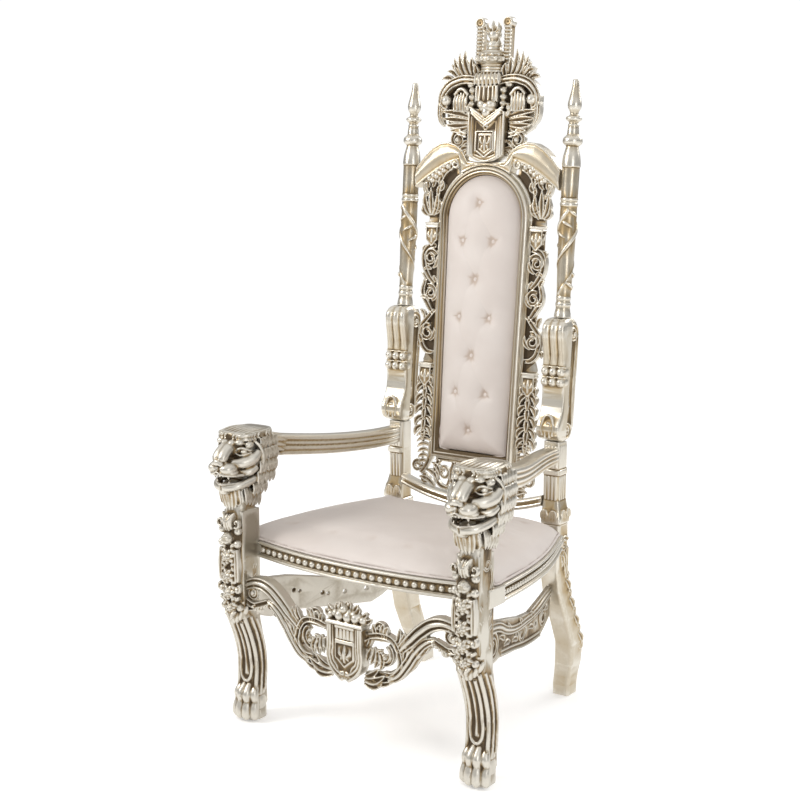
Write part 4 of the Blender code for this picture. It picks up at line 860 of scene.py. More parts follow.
def crest_panel():
    """Reeded panel under crossing ribbons, and its bordered shield."""
    half = [(0.0, 1.482), (0.028, 1.486), (0.057, 1.5), (0.058, 1.6), (0.046, 1.628), (0.0, 1.618)]
    shapes = [slab(half + [(-x, z) for x, z in reversed(half) if x > 0], -0.024, 0.018)]
    reeds = []
    for side in (-1, 1):
        for x, half_width in ((0.0545, 0.0036), (0.046, 0.003), (0.0385, 0.004), (0.032, 0.0024)):
            low = 1.486 + 0.014 * x / 0.057 + (0.004 if x < 0.05 else 0.002)
            high = 1.618 - 0.35 * (0.057 - x)
            reeds.append([(side * x, low, half_width), (side * x, (low + high) / 2, half_width),
                          (side * x, high, half_width)])
    for low, half_width in ((1.486, 0.003), (1.4935, 0.0024)):
        reeds.append([(-0.04, low + 0.012, half_width), (0.0, low, half_width),
                      (0.04, low + 0.012, half_width)])
    for rise in (0.578, 0.588, 0.598):
        reeds += [[(-0.027, 1.0 + rise + 0.014, 0.0026), (0.0, 1.0 + rise - 0.01, 0.003)],
                  [(0.027, 1.0 + rise + 0.014, 0.0026), (0.0, 1.0 + rise - 0.01, 0.003)]]
    shapes.append(carve(reeds, ROUND, flat=1.5, lift=0.023))
    outline = [(-0.026, 1.564), (-0.026, 1.514), (0.0, 1.4955), (0.026, 1.514), (0.026, 1.564)]
    shapes.append(slab(outline, -0.027, 0.0))
    border = [(x, z, 0.0028) for x, z in outline + outline[:1]]
    corners = [[border[i], border[i + 1]] for i in range(len(border) - 1)]
    inner = [(x * 0.7, 1.532 + (z - 1.532) * 0.7) for x, z in outline]
    corners += [[(*inner[i], 0.0014), (*inner[(i + 1) % 5], 0.0014)] for i in range(5)]
    shapes.append(carve(corners, ROUND, flat=1.4, lift=0.027))
    emblem = [leaf((0.0, 1.514), (0.0, 1.556), 0.005), leaf((0.0, 1.53), (0.012, 1.551), 0.0034, -0.3),
              leaf((0.0, 1.53), (-0.012, 1.551), 0.0034, 0.3),
              leaf((0.0, 1.527), (0.01, 1.515), 0.0028, 0.3),
              leaf((0.0, 1.527), (-0.01, 1.515), 0.0028, -0.3),
              [(-0.009, 1.5285, 0.0018), (0.009, 1.5285, 0.0018)]]
    shapes.append(carve(emblem, ROUND, lift=0.027))
    ribbons = []
    for side in (-1, 1):
        for shift in (-0.0065, 0.0, 0.0065):
            ribbons.append([(side * (0.05 + shift * 0.5), 1.622 + shift * 1.2, 0.004),
                            (side * 0.018, 1.6 + shift * 1.2, 0.004),
                            (-side * 0.008, 1.584 + shift * 1.2, 0.0034)])
    shapes.append(carve(ribbons, ROUND, flat=1.2, lift=0.027))
    shapes.append(ball((0.0, -0.02, 1.63), (0.027, 0.018, 0.019)))
    shapes.append(ball((0.0, -0.022, 1.616), (0.015, 0.016, 0.015)))
    for side in (-1, 1):
        shapes.append(ball((side * 0.014, -0.022, 1.637), (0.017, 0.018, 0.013)))
    return shapes


def crest_crown():
    """Drape, hanging leaves, ringed basket with its cap, the finial and the towers."""
    half = [(0.035, 1.686), (0.036, 1.64), (0.029, 1.648), (0.021, 1.636), (0.014, 1.648), (0.007, 1.636),
            (0.0, 1.647)]
    drape = half + [(-x, z) for x, z in reversed(half) if x > 0]
    shapes = [slab(drape, -0.032, 0.01)]
    folds = [[(x, 1.684, 0.0034), (x * 1.03, 1.645, 0.004)] for x in (-0.031, -0.0205, -0.0075, 0.0075,
                                                                      0.0205, 0.031)]
    shapes.append(carve(folds, ROUND, lift=0.031))
    hanging = []
    for i in range(-3, 4):
        x = 0.0115 * i
        hanging.append(leaf((x, 1.72), (x * 1.12, 1.68 + 0.0008 * i * i), 0.0068, 0.0, 0.003))
        if i < 3:
            hanging.append(leaf((x + 0.00575, 1.716), ((x + 0.00575) * 1.1, 1.69), 0.0046, 0.0, 0.0))
    shapes.append(carve(hanging, RIDGE, flat=1.3, lift=0.03))
    shapes += [ball((0.0, -0.006, 1.706), (0.036, 0.03, 0.022)),
               ball((0.0, -0.002, 1.736), (0.032, 0.028, 0.026))]
    rings = []
    for z, radius, half_width in ((1.7245, 0.033, 0.0036), (1.733, 0.0315, 0.0034), (1.7415, 0.032, 0.004)):
        rings.append([(radius * math.cos(a), -0.002 + radius * 0.86 * math.sin(a), z, half_width)
                      for a in [2 * math.pi * k / 16 for k in range(17)]])
    shapes.append(strands(rings, smooth=2))
    shapes.append(lathe([(0.032, 1.742), (0.046, 1.75), (0.0475, 1.757), (0.046, 1.762), (0.04, 1.7635),
                         (0.04, 1.77), (0.036, 1.7715), (0.03, 1.78), (0.02, 1.782), (0.02, 1.788),
                         (0.0, 1.789)],
                        (0.0, -0.002), 24))
    for i in range(14):
        angle = 2 * math.pi * i / 14
        shapes.append(ball((0.047 * math.cos(angle), -0.002 + 0.047 * math.sin(angle), 1.756),
                           (0.0055, 0.0055, 0.0068), around=10, rings=7))
        shapes.append(ball((0.0385 * math.cos(angle + 0.2), -0.002 + 0.0385 * math.sin(angle + 0.2), 1.768),
                           (0.0048, 0.0048, 0.0048), around=10, rings=7))
    shapes.append(lathe([(0.017, 1.786), (0.022, 1.795), (0.02, 1.803), (0.013, 1.808), (0.013, 1.812),
                         (0.018, 1.818),
                         (0.019, 1.828), (0.012, 1.834), (0.01, 1.838), (0.0, 1.846)], (0.0, -0.002), 20))
    bloom = [leaf((0.0, 1.828), (0.0, 1.86), 0.007, 0.0, 0.003),
             leaf((0.0, 1.828), (0.016, 1.856), 0.006, -0.3, 0.003),
             leaf((0.0, 1.828), (-0.016, 1.856), 0.006, 0.3, 0.003),
             leaf((0.004, 1.826), (0.02, 1.838), 0.005, -0.3),
             leaf((-0.004, 1.826), (-0.02, 1.838), 0.005, 0.3),
             leaf((0.0, 1.792), (0.02, 1.812), 0.006, -0.2),
             leaf((0.0, 1.792), (-0.02, 1.812), 0.006, 0.2)]
    shapes.append(carve(bloom, RIDGE, flat=1.6, lift=0.01))
    for side in (-1, 1):
        x = side * 0.0435
        shapes.append(box((x - 0.009, -0.01, 1.745), (x + 0.009, 0.014, 1.862)))
        ribs = 10
        for i in range(ribs):
            shapes.append(ball((x, -0.008, 1.757 + 0.0095 * i), (0.0112, 0.0105, 0.0041), around=14,
                               rings=8))
        shapes.append(turned(lathe([(0.0145, 0.0), (0.0155, 0.004), (0.0155, 0.024), (0.013, 0.028),
                                    (0.0105, 0.0275),
                                    (0.0095, 0.0255), (0.004, 0.0255), (0.0036, 0.02), (0.0, 0.02)],
                                    (0.0, 0.0), 24),
                             Matrix.Translation((x, 0.014, 1.8555)) @ Matrix.Rotation(math.pi / 2, 4, "X")))
    return shapes


def crest_leaves():
    """The carved half to the right of the panel."""
    arm = [[(0.026, 1.697, 0.0095), (0.06, 1.704, 0.012), (0.1, 1.701, 0.013), (0.134, 1.683, 0.013),
            (0.15, 1.655, 0.0115), (0.147, 1.632, 0.009), (0.134, 1.626, 0.0075)],
           [(0.148, 1.66, 0.0085), (0.1545, 1.63, 0.009), (0.151, 1.596, 0.008), (0.14, 1.58, 0.005)]]
    shapes = [carve(arm, BAND, flat=1.5, lift=0.014)]
    scooped = [
        leaf((0.062, 1.708), (0.082, 1.782), 0.0095, -0.1, 0.006),
        leaf((0.076, 1.706), (0.1, 1.776), 0.0085, -0.1, 0.005),
        leaf((0.088, 1.706), (0.117, 1.764), 0.0085, -0.08, 0.005),
        leaf((0.056, 1.712), (0.062, 1.765), 0.0085, -0.05, 0.004),
        leaf((0.104, 1.706), (0.14, 1.728), 0.008, 0.18, 0.004),
        leaf((0.118, 1.7), (0.156, 1.706), 0.0075, 0.22, 0.004),
        leaf((0.098, 1.708), (0.128, 1.748), 0.007, 0.05, 0.004),
        leaf((0.048, 1.706), (0.05, 1.745), 0.01, 0.12, 0.008),
        leaf((0.062, 1.604), (0.15, 1.618), 0.009, 0.05, 0.006),
        leaf((0.062, 1.594), (0.148, 1.6), 0.009, 0.0, 0.006),
        leaf((0.064, 1.584), (0.138, 1.583), 0.0085, -0.04, 0.005),
        leaf((0.066, 1.576), (0.122, 1.568), 0.008, -0.06, 0.005),
        leaf((0.062, 1.566), (0.1, 1.56), 0.007, -0.1, 0.004),
        leaf((0.06, 1.54), (0.08, 1.528), 0.007, 0.1, 0.003),
        leaf((0.058, 1.52), (0.088, 1.508), 0.0075, 0.2, 0.004),
        leaf((0.058, 1.512), (0.072, 1.496), 0.006, 0.2, 0.003),
        volute((0.094, 1.5425), 0.0225, 110, -1.15, 0.0075),
        volute((0.078, 1.508), 0.011, 200, 1.0, 0.0045),
    ]
    shapes.append(carve(scooped, SCOOP, flat=1.5, lift=0.01))
    shapes.append(ball((0.094, -0.016, 1.5425), (0.0075, 0.01, 0.0075)))
    shapes.append(ball((0.1355, -0.018, 1.649), (0.015, 0.015, 0.015)))
    flutes = [[(x, 1.618, 0.0046), (x + 0.001, 1.648, 0.005),
               (x * 0.99, 1.672 - abs(x - 0.088) * 0.5, 0.003)]
              for x in (0.072, 0.0815, 0.091, 0.1005, 0.1095)]
    flutes += [[(0.066, 1.662, 0.005), (0.09, 1.68, 0.0056), (0.113, 1.664, 0.004)],
               [(0.066, 1.56, 0.003), (0.082, 1.562, 0.003)],
               [(0.066, 1.551, 0.003), (0.078, 1.551, 0.003)],
               [(0.06, 1.64, 0.005), (0.064, 1.616, 0.006), (0.052, 1.6, 0.005)]]
    shapes.append(carve(flutes, ROUND, flat=1.5, lift=0.014))
    for z, radius in ((1.674, 0.0098), (1.656, 0.0102), (1.639, 0.009)):
        shapes.append(ball((0.049, -0.022, z), (radius, 0.011, radius * 0.9)))
        shapes.append(ball((0.049, -0.032, z), (radius * 0.45, 0.004, radius * 0.4)))
    shapes += [ball((0.06, -0.012, 1.69), (0.012, 0.012, 0.009)),
               ball((0.064, -0.014, 1.628), (0.0085, 0.012, 0.0085))]
    return shapes


def crest():
    half = joined(crest_leaves())
    shapes = [crest_board(), both_sides(half)] + crest_panel() + crest_crown()
    place("crest_carving", fused(shapes, FINE_GRAIN, 100000), ["crest"], CARVED_LEAF, BACK, sharp=0)


# Shoulders, moulding, pierced bands, brackets and posts

def shoulder_edges(x):
    """Lower and upper height of the top rail at a distance from the middle."""
    arch_top = FRAME_SPRING + (FRAME_RISE + 0.0006) * math.sqrt(max(0.0,
                                                                    1 - (x / (FRAME_HALF_TOP + 0.0003)) ** 2))
    share = min(max((x - 0.088) / 0.142, 0.0), 1.0)
    underside = 1.488 - 0.078 * share ** 1.4
    low = arch_top + (underside - arch_top) * min(max((x - 0.076) / 0.01, 0.0), 1.0)
    high = float(np.interp(x, (0.0, 0.06, 0.078, 0.1, 0.125, 0.15, 0.175, 0.2, 0.2297),
                           (1.4825, 1.485, 1.515, 1.53, 1.5375, 1.535, 1.522, 1.5, 1.4655)))
    return low, high


def top_rail():
    """Plain swelling shoulders from post to crest, and the bridge over the arch."""
    sections = []
    xs = [0.0015 * i for i in range(51)] + [0.076, 0.078, 0.08, 0.082, 0.084,
                                            0.086] + [0.088 + 0.0023 * i for i in range(62)]
    for x in [*xs[:-1], 0.2297]:
        low, high = shoulder_edges(x)
        tall = high - low
        ring = [(x, 0.0208, low), (x, -0.012, low), (x, -0.016, low + 0.001), (x, -0.0172, low + 0.0035),
                (x, -0.015, low + 0.006)]
        for i in range(9):
            share = (i + 0.5) / 9
            ring.append((x, -0.014 - 0.0066 * math.sin(math.pi * share) ** 0.8,
                         low + 0.0068 + (tall - 0.0136) * share))
        ring += [(x, -0.015, high - 0.006), (x, -0.0172, high - 0.0035), (x, -0.016, high - 0.001),
                 (x, -0.012, high),
                 (x, 0.0208, high)]
        sections.append(ring)
    half_rail = loft(sections)
    hook = carve([volute((0.1, 1.4765), 0.013, 100, 1.1, 0.0042, 10)], ROUND, flat=1.2, lift=0.0135)
    rail = fused([both_sides(joined([half_rail, hook]))], COARSE_GRAIN, 30000, ease=2)
    place("shoulder_rail", rail, ["top_rail"], PLAIN_LEAF, BACK, sharp=0)


def arch(shift=0.0, steps=40):
    """Outline of the back's frame moved inwards, from the right foot round to the left one."""
    points = [(FRAME_HALF_FOOT - shift, FRAME_FOOT + shift)]
    rows = 10
    for i in range(1, rows):
        share = i / rows
        points.append((FRAME_HALF_FOOT + (FRAME_HALF_TOP - FRAME_HALF_FOOT) * share - shift,
                       FRAME_FOOT + shift + (FRAME_SPRING - FRAME_FOOT - shift) * share))
    for i in range(steps + 1):
        angle = math.pi * i / steps
        points.append(((FRAME_HALF_TOP - shift) * math.cos(angle),
                       FRAME_SPRING + (FRAME_RISE - shift) * math.sin(angle)))
    for i in range(rows - 1, -1, -1):
        share = i / rows
        points.append((-(FRAME_HALF_FOOT + (FRAME_HALF_TOP - FRAME_HALF_FOOT) * share - shift),
                       FRAME_FOOT + shift + (FRAME_SPRING - FRAME_FOOT - shift) * share))
    return points


def back_moulding():
    """Two reeds with fillets round the arched back, swept through rings of equal length."""
    profile = ((0.0, 0.02), (0.0, -0.01), (0.0012, -0.0145), (0.004, -0.0185), (0.0068, -0.02),
               (0.0096, -0.0188),
               (0.0112, -0.0158), (0.012, -0.0158), (0.0134, -0.0182), (0.0158, -0.019), (0.0182, -0.0178),
               (0.0196, -0.0142), (0.0204, -0.0132), (0.0222, -0.013), (0.024, -0.01), (0.024, 0.02))
    bm = bmesh.new()
    rings = [[bm.verts.new((x, depth, z)) for x, z in arch(shift)] for shift, depth in profile]
    count = len(rings[0])
    for near, far in zip(rings, rings[1:] + rings[:1]):
        for i in range(count):
            j = (i + 1) % count
            bm.faces.new((near[i], near[j], far[j], far[i]))
    bmesh.ops.recalc_face_normals(bm, faces=bm.faces)
    frame_mesh = modified(from_bmesh(bm), "BEVEL", width=0.0006, segments=2, limit_method="ANGLE")
    place("arched_moulding", frame_mesh, ["back_frame"], PLAIN_LEAF, BACK, sharp=50.0)


def fretwork():
    """Right-hand pierced band: fruit, flame leaves, tablets over small shields, scrolls, and a leaf foot."""
    mid = 0.168
    scrolls = [
        volute((0.152, 1.36), 0.0125, 100, -1.1, 0.0056, 10),
        volute((mid + 0.003, 1.216), 0.0215, 150, -1.2, 0.008),
        volute((mid - 0.001, 1.12), 0.02, 60, 1.15, 0.0076),
        volute((mid + 0.002, 1.006), 0.023, 110, -1.15, 0.0082),
        volute((0.182, 0.625), 0.016, 100, -1.15, 0.006),
        [(mid - 0.014, 1.252, 0.006), (0.184, 1.243, 0.008), (0.192, 1.205, 0.0084),
         (mid + 0.008, 1.168, 0.008),
         (mid - 0.012, 1.146, 0.006)],
        [(0.186, 1.156, 0.0056), (0.192, 1.12, 0.007), (mid + 0.004, 1.084, 0.008),
         (mid - 0.012, 1.062, 0.006)],
        [(mid - 0.018, 1.072, 0.0056), (mid + 0.002, 1.05, 0.0076), (0.19, 1.022, 0.008),
         (0.19, 0.985, 0.0078),
         (mid + 0.004, 0.957, 0.008), (mid - 0.018, 0.952, 0.006)],
        [(0.138, 0.7, 0.008), (0.142, 0.655, 0.0082), (0.158, 0.622, 0.0066), (0.172, 0.606, 0.005)],
    ]
    leaves = [
        leaf((0.17, 1.334), (0.158, 1.398), 0.009, 0.1, 0.006),
        leaf((0.176, 1.334), (0.178, 1.412), 0.009, 0.0, 0.007),
        leaf((0.182, 1.334), (0.197, 1.402), 0.009, -0.1, 0.006),
        leaf((0.164, 1.338), (0.15, 1.38), 0.0075, 0.2, 0.003),
        leaf((0.184, 1.334), (0.202, 1.368), 0.0075, -0.25, 0.003),
        leaf((0.16, 1.404), (0.142, 1.432), 0.0075, 0.3, 0.003),
        leaf((0.19, 1.412), (0.202, 1.432), 0.007, 0.2, 0.003),
        leaf((0.178, 1.412), (0.168, 1.438), 0.0075, 0.1, 0.004),
        leaf((0.158, 1.452), (0.148, 1.424), 0.008, 0.2, 0.004),
        leaf((0.116, 1.486), (0.134, 1.458), 0.0075, -0.3, 0.003),
        leaf((mid - 0.004, 1.188), (mid - 0.018, 1.222), 0.007, 0.2, 0.004),
        leaf((mid, 1.184), (mid + 0.024, 1.18), 0.0065, 0.3, 0.003),
        leaf((mid - 0.006, 1.096), (mid - 0.02, 1.134), 0.007, 0.2, 0.004),
        leaf((mid + 0.004, 1.09), (0.199, 1.106), 0.007, 0.3, 0.004),
        leaf((mid - 0.004, 0.985), (mid - 0.02, 1.022), 0.007, 0.2, 0.004),
        leaf((0.184, 1.148), (0.2, 1.174), 0.0065, 0.2, 0.003),
        leaf((0.184, 1.046), (0.199, 1.072), 0.007, 0.2, 0.004),
        leaf((0.184, 1.25), (0.199, 1.232), 0.006, 0.2),
        leaf((0.106, 1.472), (0.128, 1.451), 0.0078, 0.2, 0.004),
        leaf((0.121, 1.463), (0.141, 1.436), 0.0078, 0.2, 0.004),
        leaf((0.134, 1.449), (0.149, 1.412), 0.0078, 0.2, 0.004),
        leaf((0.143, 1.424), (0.151, 1.386), 0.0072, 0.2, 0.004),
        leaf((mid - 0.008, 1.168), (mid - 0.018, 1.148), 0.006),
        leaf((0.186, 0.985), (0.2, 0.962), 0.0065, 0.2),
    ]
    for z, wide in ((0.868, 0.02), (0.842, 0.024), (0.812, 0.025), (0.782, 0.026), (0.75, 0.0265),
                    (0.722, 0.026)):
        for side in (-1, 0, 1):
            leaves.append(leaf((mid + side * 0.004, z + 0.02),
                               (mid + side * wide, z - 0.024 + 0.014 * abs(side)),
                               0.0088, side * 0.22, 0.006))
    for i in range(7):
        x0 = 0.14 + 0.0025 * i
        leaves.append(leaf((x0, 0.716 - 0.015 * i), (x0 + 0.05 - 0.005 * i, 0.708 - 0.015 * i), 0.0066,
                           0.22, 0.005))
    stile = [(FRAME_HALF_FOOT - 0.002, 0.65), (FRAME_HALF_FOOT + 0.009, 0.65), (0.15, 1.3), (0.1485, 1.345),
             (0.142, 1.345)]
    shapes = [carve(scrolls, SCOOP, flat=1.5, lift=0.003), carve(leaves, SCOOP, flat=1.3, lift=0.003),
              slab(stile, -0.006, 0.008)]
    ground = [(0.141, 0.7), (0.172, 0.7), (0.184, 0.78), (0.182, 0.86), (0.186, 0.93), (0.176, 0.962),
              (0.186, 1.006),
              (0.184, 1.04), (0.174, 1.066), (0.184, 1.11), (0.182, 1.14), (0.174, 1.166), (0.186, 1.215),
              (0.186, 1.24),
              (0.188, 1.33), (0.182, 1.35), (0.15, 1.36), (0.144, 1.34)]
    shapes.append(slab(ground, 0.003, 0.009))
    inner = sorted([(x, z) for x, z in arch(-0.002) if x > 0.088 and z > 1.35], key=lambda spot: -spot[1])
    outer = [(0.184, 1.35), (0.19, 1.37), (0.197, 1.4), (0.194, 1.426), (0.175, 1.442), (0.15, 1.459),
             (0.12, 1.475),
             (0.095, 1.481)]
    shapes.append(slab(inner + outer, 0.003, 0.009))
    rim = arch(-0.003)[10:28]
    shapes.append(carve([[(x, z, 0.006) for x, z in rim[::3]]], ROUND, flat=1.3))
    for height in (1.278, 0.885):
        shield = [(mid - 0.0165, height + 0.024), (mid - 0.0165, height - 0.01), (mid, height - 0.028),
                  (mid + 0.0165, height - 0.01), (mid + 0.0165, height + 0.024)]
        shapes.append(slab(shield, -0.0115, 0.009))
        edges = [[(*shield[i], 0.0021), (*shield[(i + 1) % 5], 0.0021)] for i in range(5)]
        edges += [leaf((mid, height - 0.016), (mid, height + 0.018), 0.0046),
                  leaf((mid, height - 0.004), (mid + 0.01, height + 0.012), 0.0034, -0.3),
                  leaf((mid, height - 0.004), (mid - 0.01, height + 0.012), 0.0034, 0.3)]
        shapes.append(carve(edges, ROUND, lift=0.0115))
        for k, wide in enumerate((0.0215, 0.0195, 0.0235)):
            shapes.append(box((mid - wide, -0.0132 - 0.0012 * (k == 2), height + 0.0245 + 0.0046 * k),
                              (mid + wide, 0.009, height + 0.0276 + 0.0046 * k)))
        shapes.append(box((mid - 0.018, -0.0095, height + 0.022), (mid + 0.018, 0.008, height + 0.038)))
        for side in (-1, 1):
            shapes.append(carve([leaf((mid + side * 0.017, height - 0.012),
                                      (mid + side * 0.028, height + 0.02), 0.005,
                                      side * 0.2)], SCOOP, flat=1.2, lift=0.004))
    for i, (x, z) in enumerate(((0.113, 1.481), (0.124, 1.471), (0.127, 1.486), (0.137, 1.473),
                                (0.14, 1.46), (0.148, 1.467),
                                (0.151, 1.452), (0.16, 1.457), (0.163, 1.443), (0.172, 1.446),
                                (0.176, 1.432), (0.185, 1.437))):
        shapes.append(ball((x, -0.006 - 0.002 * (i % 2), z), (0.0086, 0.01, 0.0086), around=14, rings=9))
    horn = [[(0.202, 1.426, 0.008), (0.198, 1.405, 0.008), (0.187, 1.393, 0.0065), (0.176, 1.398, 0.0045)]]
    shapes.append(carve(horn, BAND, flat=1.2, lift=0.004))
    band = fused(shapes, FINE_GRAIN, 52000)
    pair("pierced_band", band, "fretwork", CARVED_LEAF, BACK, sharp=0)


def lower_band():
    """Pierced scrolls over the curved lower rail."""
    right = [volute((0.094, 0.614), 0.019, 60, 1.15, 0.0058),
             volute((0.046, 0.608), 0.018, 140, -1.15, 0.0056),
             [(0.112, 0.65, 0.0062), (0.124, 0.618, 0.0066), (0.108, 0.582, 0.007), (0.078, 0.572, 0.0062)],
             [(0.062, 0.65, 0.0054), (0.07, 0.614, 0.006), (0.06, 0.576, 0.0066)],
             [(0.022, 0.65, 0.0054), (0.016, 0.602, 0.006), (0.004, 0.572, 0.0062)],
             [(0.0, 0.6535, 0.0056), (0.06, 0.6535, 0.0056), (0.124, 0.6535, 0.0056)],
             leaf((0.112, 0.588), (0.158, 0.616), 0.009, 0.2),
             leaf((0.124, 0.572), (0.18, 0.594), 0.009, 0.15),
             leaf((0.108, 0.606), (0.138, 0.64), 0.0085, 0.2), volute((0.16, 0.59), 0.015, 60, 1.1, 0.0056),
             leaf((0.085, 0.576), (0.07, 0.632), 0.006, 0.1),
             leaf((0.03, 0.574), (0.026, 0.628), 0.006, -0.1)]
    middle = [leaf((0.0, 0.572), (0.0, 0.646), 0.008), leaf((0.0, 0.572), (0.014, 0.622), 0.006, -0.2),
              leaf((0.0, 0.572), (-0.014, 0.622), 0.006, 0.2),
              [(-0.075, 0.562, 0.0066), (-0.035, 0.556, 0.007), (0.0, 0.553, 0.0072), (0.035, 0.556, 0.007),
               (0.075, 0.562, 0.0066)]]
    shapes = [both_sides(carve(right, SCOOP, flat=1.4)), carve(middle, SCOOP, flat=1.4)]
    place("lower_scrolls", fused(shapes, FINE_GRAIN, 28000), ["lower_fretwork"], CARVED_LEAF, BACK, sharp=0)
    end = REAR_X - 0.0253
    sections = []
    for i in range(41):
        x = -end + 2 * end * i / 40
        z = 0.582 - 0.04 * (1 - (x / end) ** 2)
        half_x, half_y = 0.0148, 0.0148
        ring = [(x, 0.015, z - half_x), (x, -0.009, z - half_x), (x, -0.0135, z - 0.011),
                (x, -0.015, z - 0.0075),
                (x, -0.0135, z - 0.0045), (x, -0.0105, z - 0.004), (x, -0.0105, z + 0.004),
                (x, -0.0135, z + 0.0045),
                (x, -0.015, z + 0.0075), (x, -0.0135, z + 0.011), (x, -0.009, z + half_y),
                (x, 0.015, z + half_y)]
        sections.append(ring)
    place("lower_rail_moulding", loft(sections), ["lower_back_rail"], PLAIN_LEAF, BACK, sharp=35.0)


def console():
    """Scroll bracket: three reeded lobes, two rows of beads, a smooth hollow and a rolled foot."""
    half = 0.0352
    rounding = ((0.7485, 0.757, 0.77, 1.045, 1.058, 1.07, 1.0772),
                (0.0265, 0.0335, 0.0352, 0.0352, 0.0345, 0.0315, 0.0262),
                (0.022, 0.032, 0.038, 0.038, 0.0362, 0.031, 0.024))
    stations = ((0.7485, 0.01), (0.751, 0.024), (0.757, 0.037), (0.766, 0.0455), (0.778, 0.0495),
                (0.79, 0.049),
                (0.802, 0.044), (0.813, 0.0375), (0.826, 0.032), (0.842, 0.0285), (0.86, 0.027),
                (0.878, 0.0275),
                (0.892, 0.0295), (0.9, 0.031), (0.945, 0.031), (0.95, 0.032), (0.96, 0.0345),
                (0.98, 0.0385),
                (1.005, 0.0445), (1.028, 0.05), (1.046, 0.052), (1.058, 0.05), (1.068, 0.043),
                (1.074, 0.033),
                (1.0768, 0.02), (1.0772, 0.006))
    sections = []
    steps = 42
    for z, front in stations:
        lobed = float(np.interp(z, (0.955, 0.968, 1.066, 1.0772), (0.0, 1.0, 1.0, 0.2)))
        wide, behind = (float(np.interp(z, rounding[0], values)) for values in rounding[1:])
        ring = []
        for i in range(steps + 1):
            share = 2 * i / steps - 1
            crease = 0.0095 * lobed * (1 - abs(math.sin(1.5 * math.pi * (share + 1))) ** 0.5)
            edge = 0.007 * max(0.0, (abs(share) - 0.88) / 0.12) ** 2
            ring.append((REAR_X + wide * share, -max(0.004, front - crease - edge), z))
        sides = ((wide, -0.002), (wide - 0.0065, 0.001), (wide - 0.0065, behind))
        ring += [(REAR_X + x, y, z) for x, y in sides] + [(REAR_X - x, y, z) for x, y in reversed(sides)]
        sections.append(ring)
    shapes = [loft(sections)]
    for z in (0.935, 0.907):
        for x in (-0.0235, 0.0, 0.0235):
            shapes.append(ball((REAR_X + x, -0.0315, z), (0.0116, 0.0125, 0.0126), around=20, rings=14))
            shapes.append(ball((REAR_X + x * 1.42, -0.02, z), (0.0035, 0.013, 0.012), around=14, rings=10))
        shapes.append(box((REAR_X - half, -0.035, z + 0.0118), (REAR_X + half, 0.0, z + 0.0142)))
    mark = [[(REAR_X - 0.015, 0.764, 0.0034), (REAR_X - 0.017, 0.796, 0.0036), (REAR_X, 0.82, 0.0038),
             (REAR_X + 0.017, 0.796, 0.0036), (REAR_X + 0.015, 0.764, 0.0034)],
            volute((REAR_X, 0.794), 0.0085, -90, 1.0, 0.0028),
            [(REAR_X - 0.006, 0.78, 0.0026), (REAR_X - 0.007, 0.758, 0.0026)],
            [(REAR_X + 0.006, 0.78, 0.0026), (REAR_X + 0.007, 0.758, 0.0026)]]
    shapes.append(carve(mark, ROUND, flat=1.4, lift=0.0455))
    side_marks = [
        volute((0.012, 1.036), 0.024, 175, -1.25, 0.0084),
        volute((0.006, 0.781), 0.0225, 150, 1.25, 0.0082),
        [(-0.02, 1.06, 0.0036), (-0.038, 1.04, 0.004), (-0.034, 1.0, 0.004), (-0.026, 0.955, 0.0036)],
        [(0.031, 1.036, 0.007), (0.031, 0.96, 0.0074), (0.029, 0.9, 0.0074), (0.029, 0.84, 0.0074),
         (0.029, 0.785, 0.007)],
        leaf((-0.006, 0.966), (-0.002, 1.004), 0.0075, 0.15),
        leaf((-0.004, 0.93), (-0.014, 0.966), 0.007, 0.15),
        leaf((0.0, 0.895), (0.006, 0.935), 0.007, 0.15), leaf((0.002, 0.86), (-0.008, 0.896), 0.007, 0.15),
        leaf((0.006, 0.82), (0.01, 0.862), 0.007, 0.15),
        [(-0.024, 0.88, 0.0036), (-0.02, 0.84, 0.0038), (-0.034, 0.808, 0.004)],
    ]
    relief = carve(side_marks, SCOOP, flat=1.0)
    for side in (-1, 1):
        turn = Matrix.Rotation(side * math.pi / 2, 4, "Z") @ Matrix.Diagonal((side, 1.0, 1.0, 1.0))
        shapes.append(turned(relief, Matrix.Translation((REAR_X + side * (half - 0.006), 0.0, 0.0)) @ turn))
        for z, depth in ((1.036, 0.01), (0.781, 0.004)):
            shapes.append(ball((REAR_X + side * (half - 0.0005), depth, z), (0.0035, 0.0056, 0.0056),
                               around=12, rings=8))
    bracket = fused(shapes, FINE_GRAIN, 28000, ease=2)
    pair("scroll_bracket", bracket, "console", PLAIN_LEAF, BACK, sharp=0)


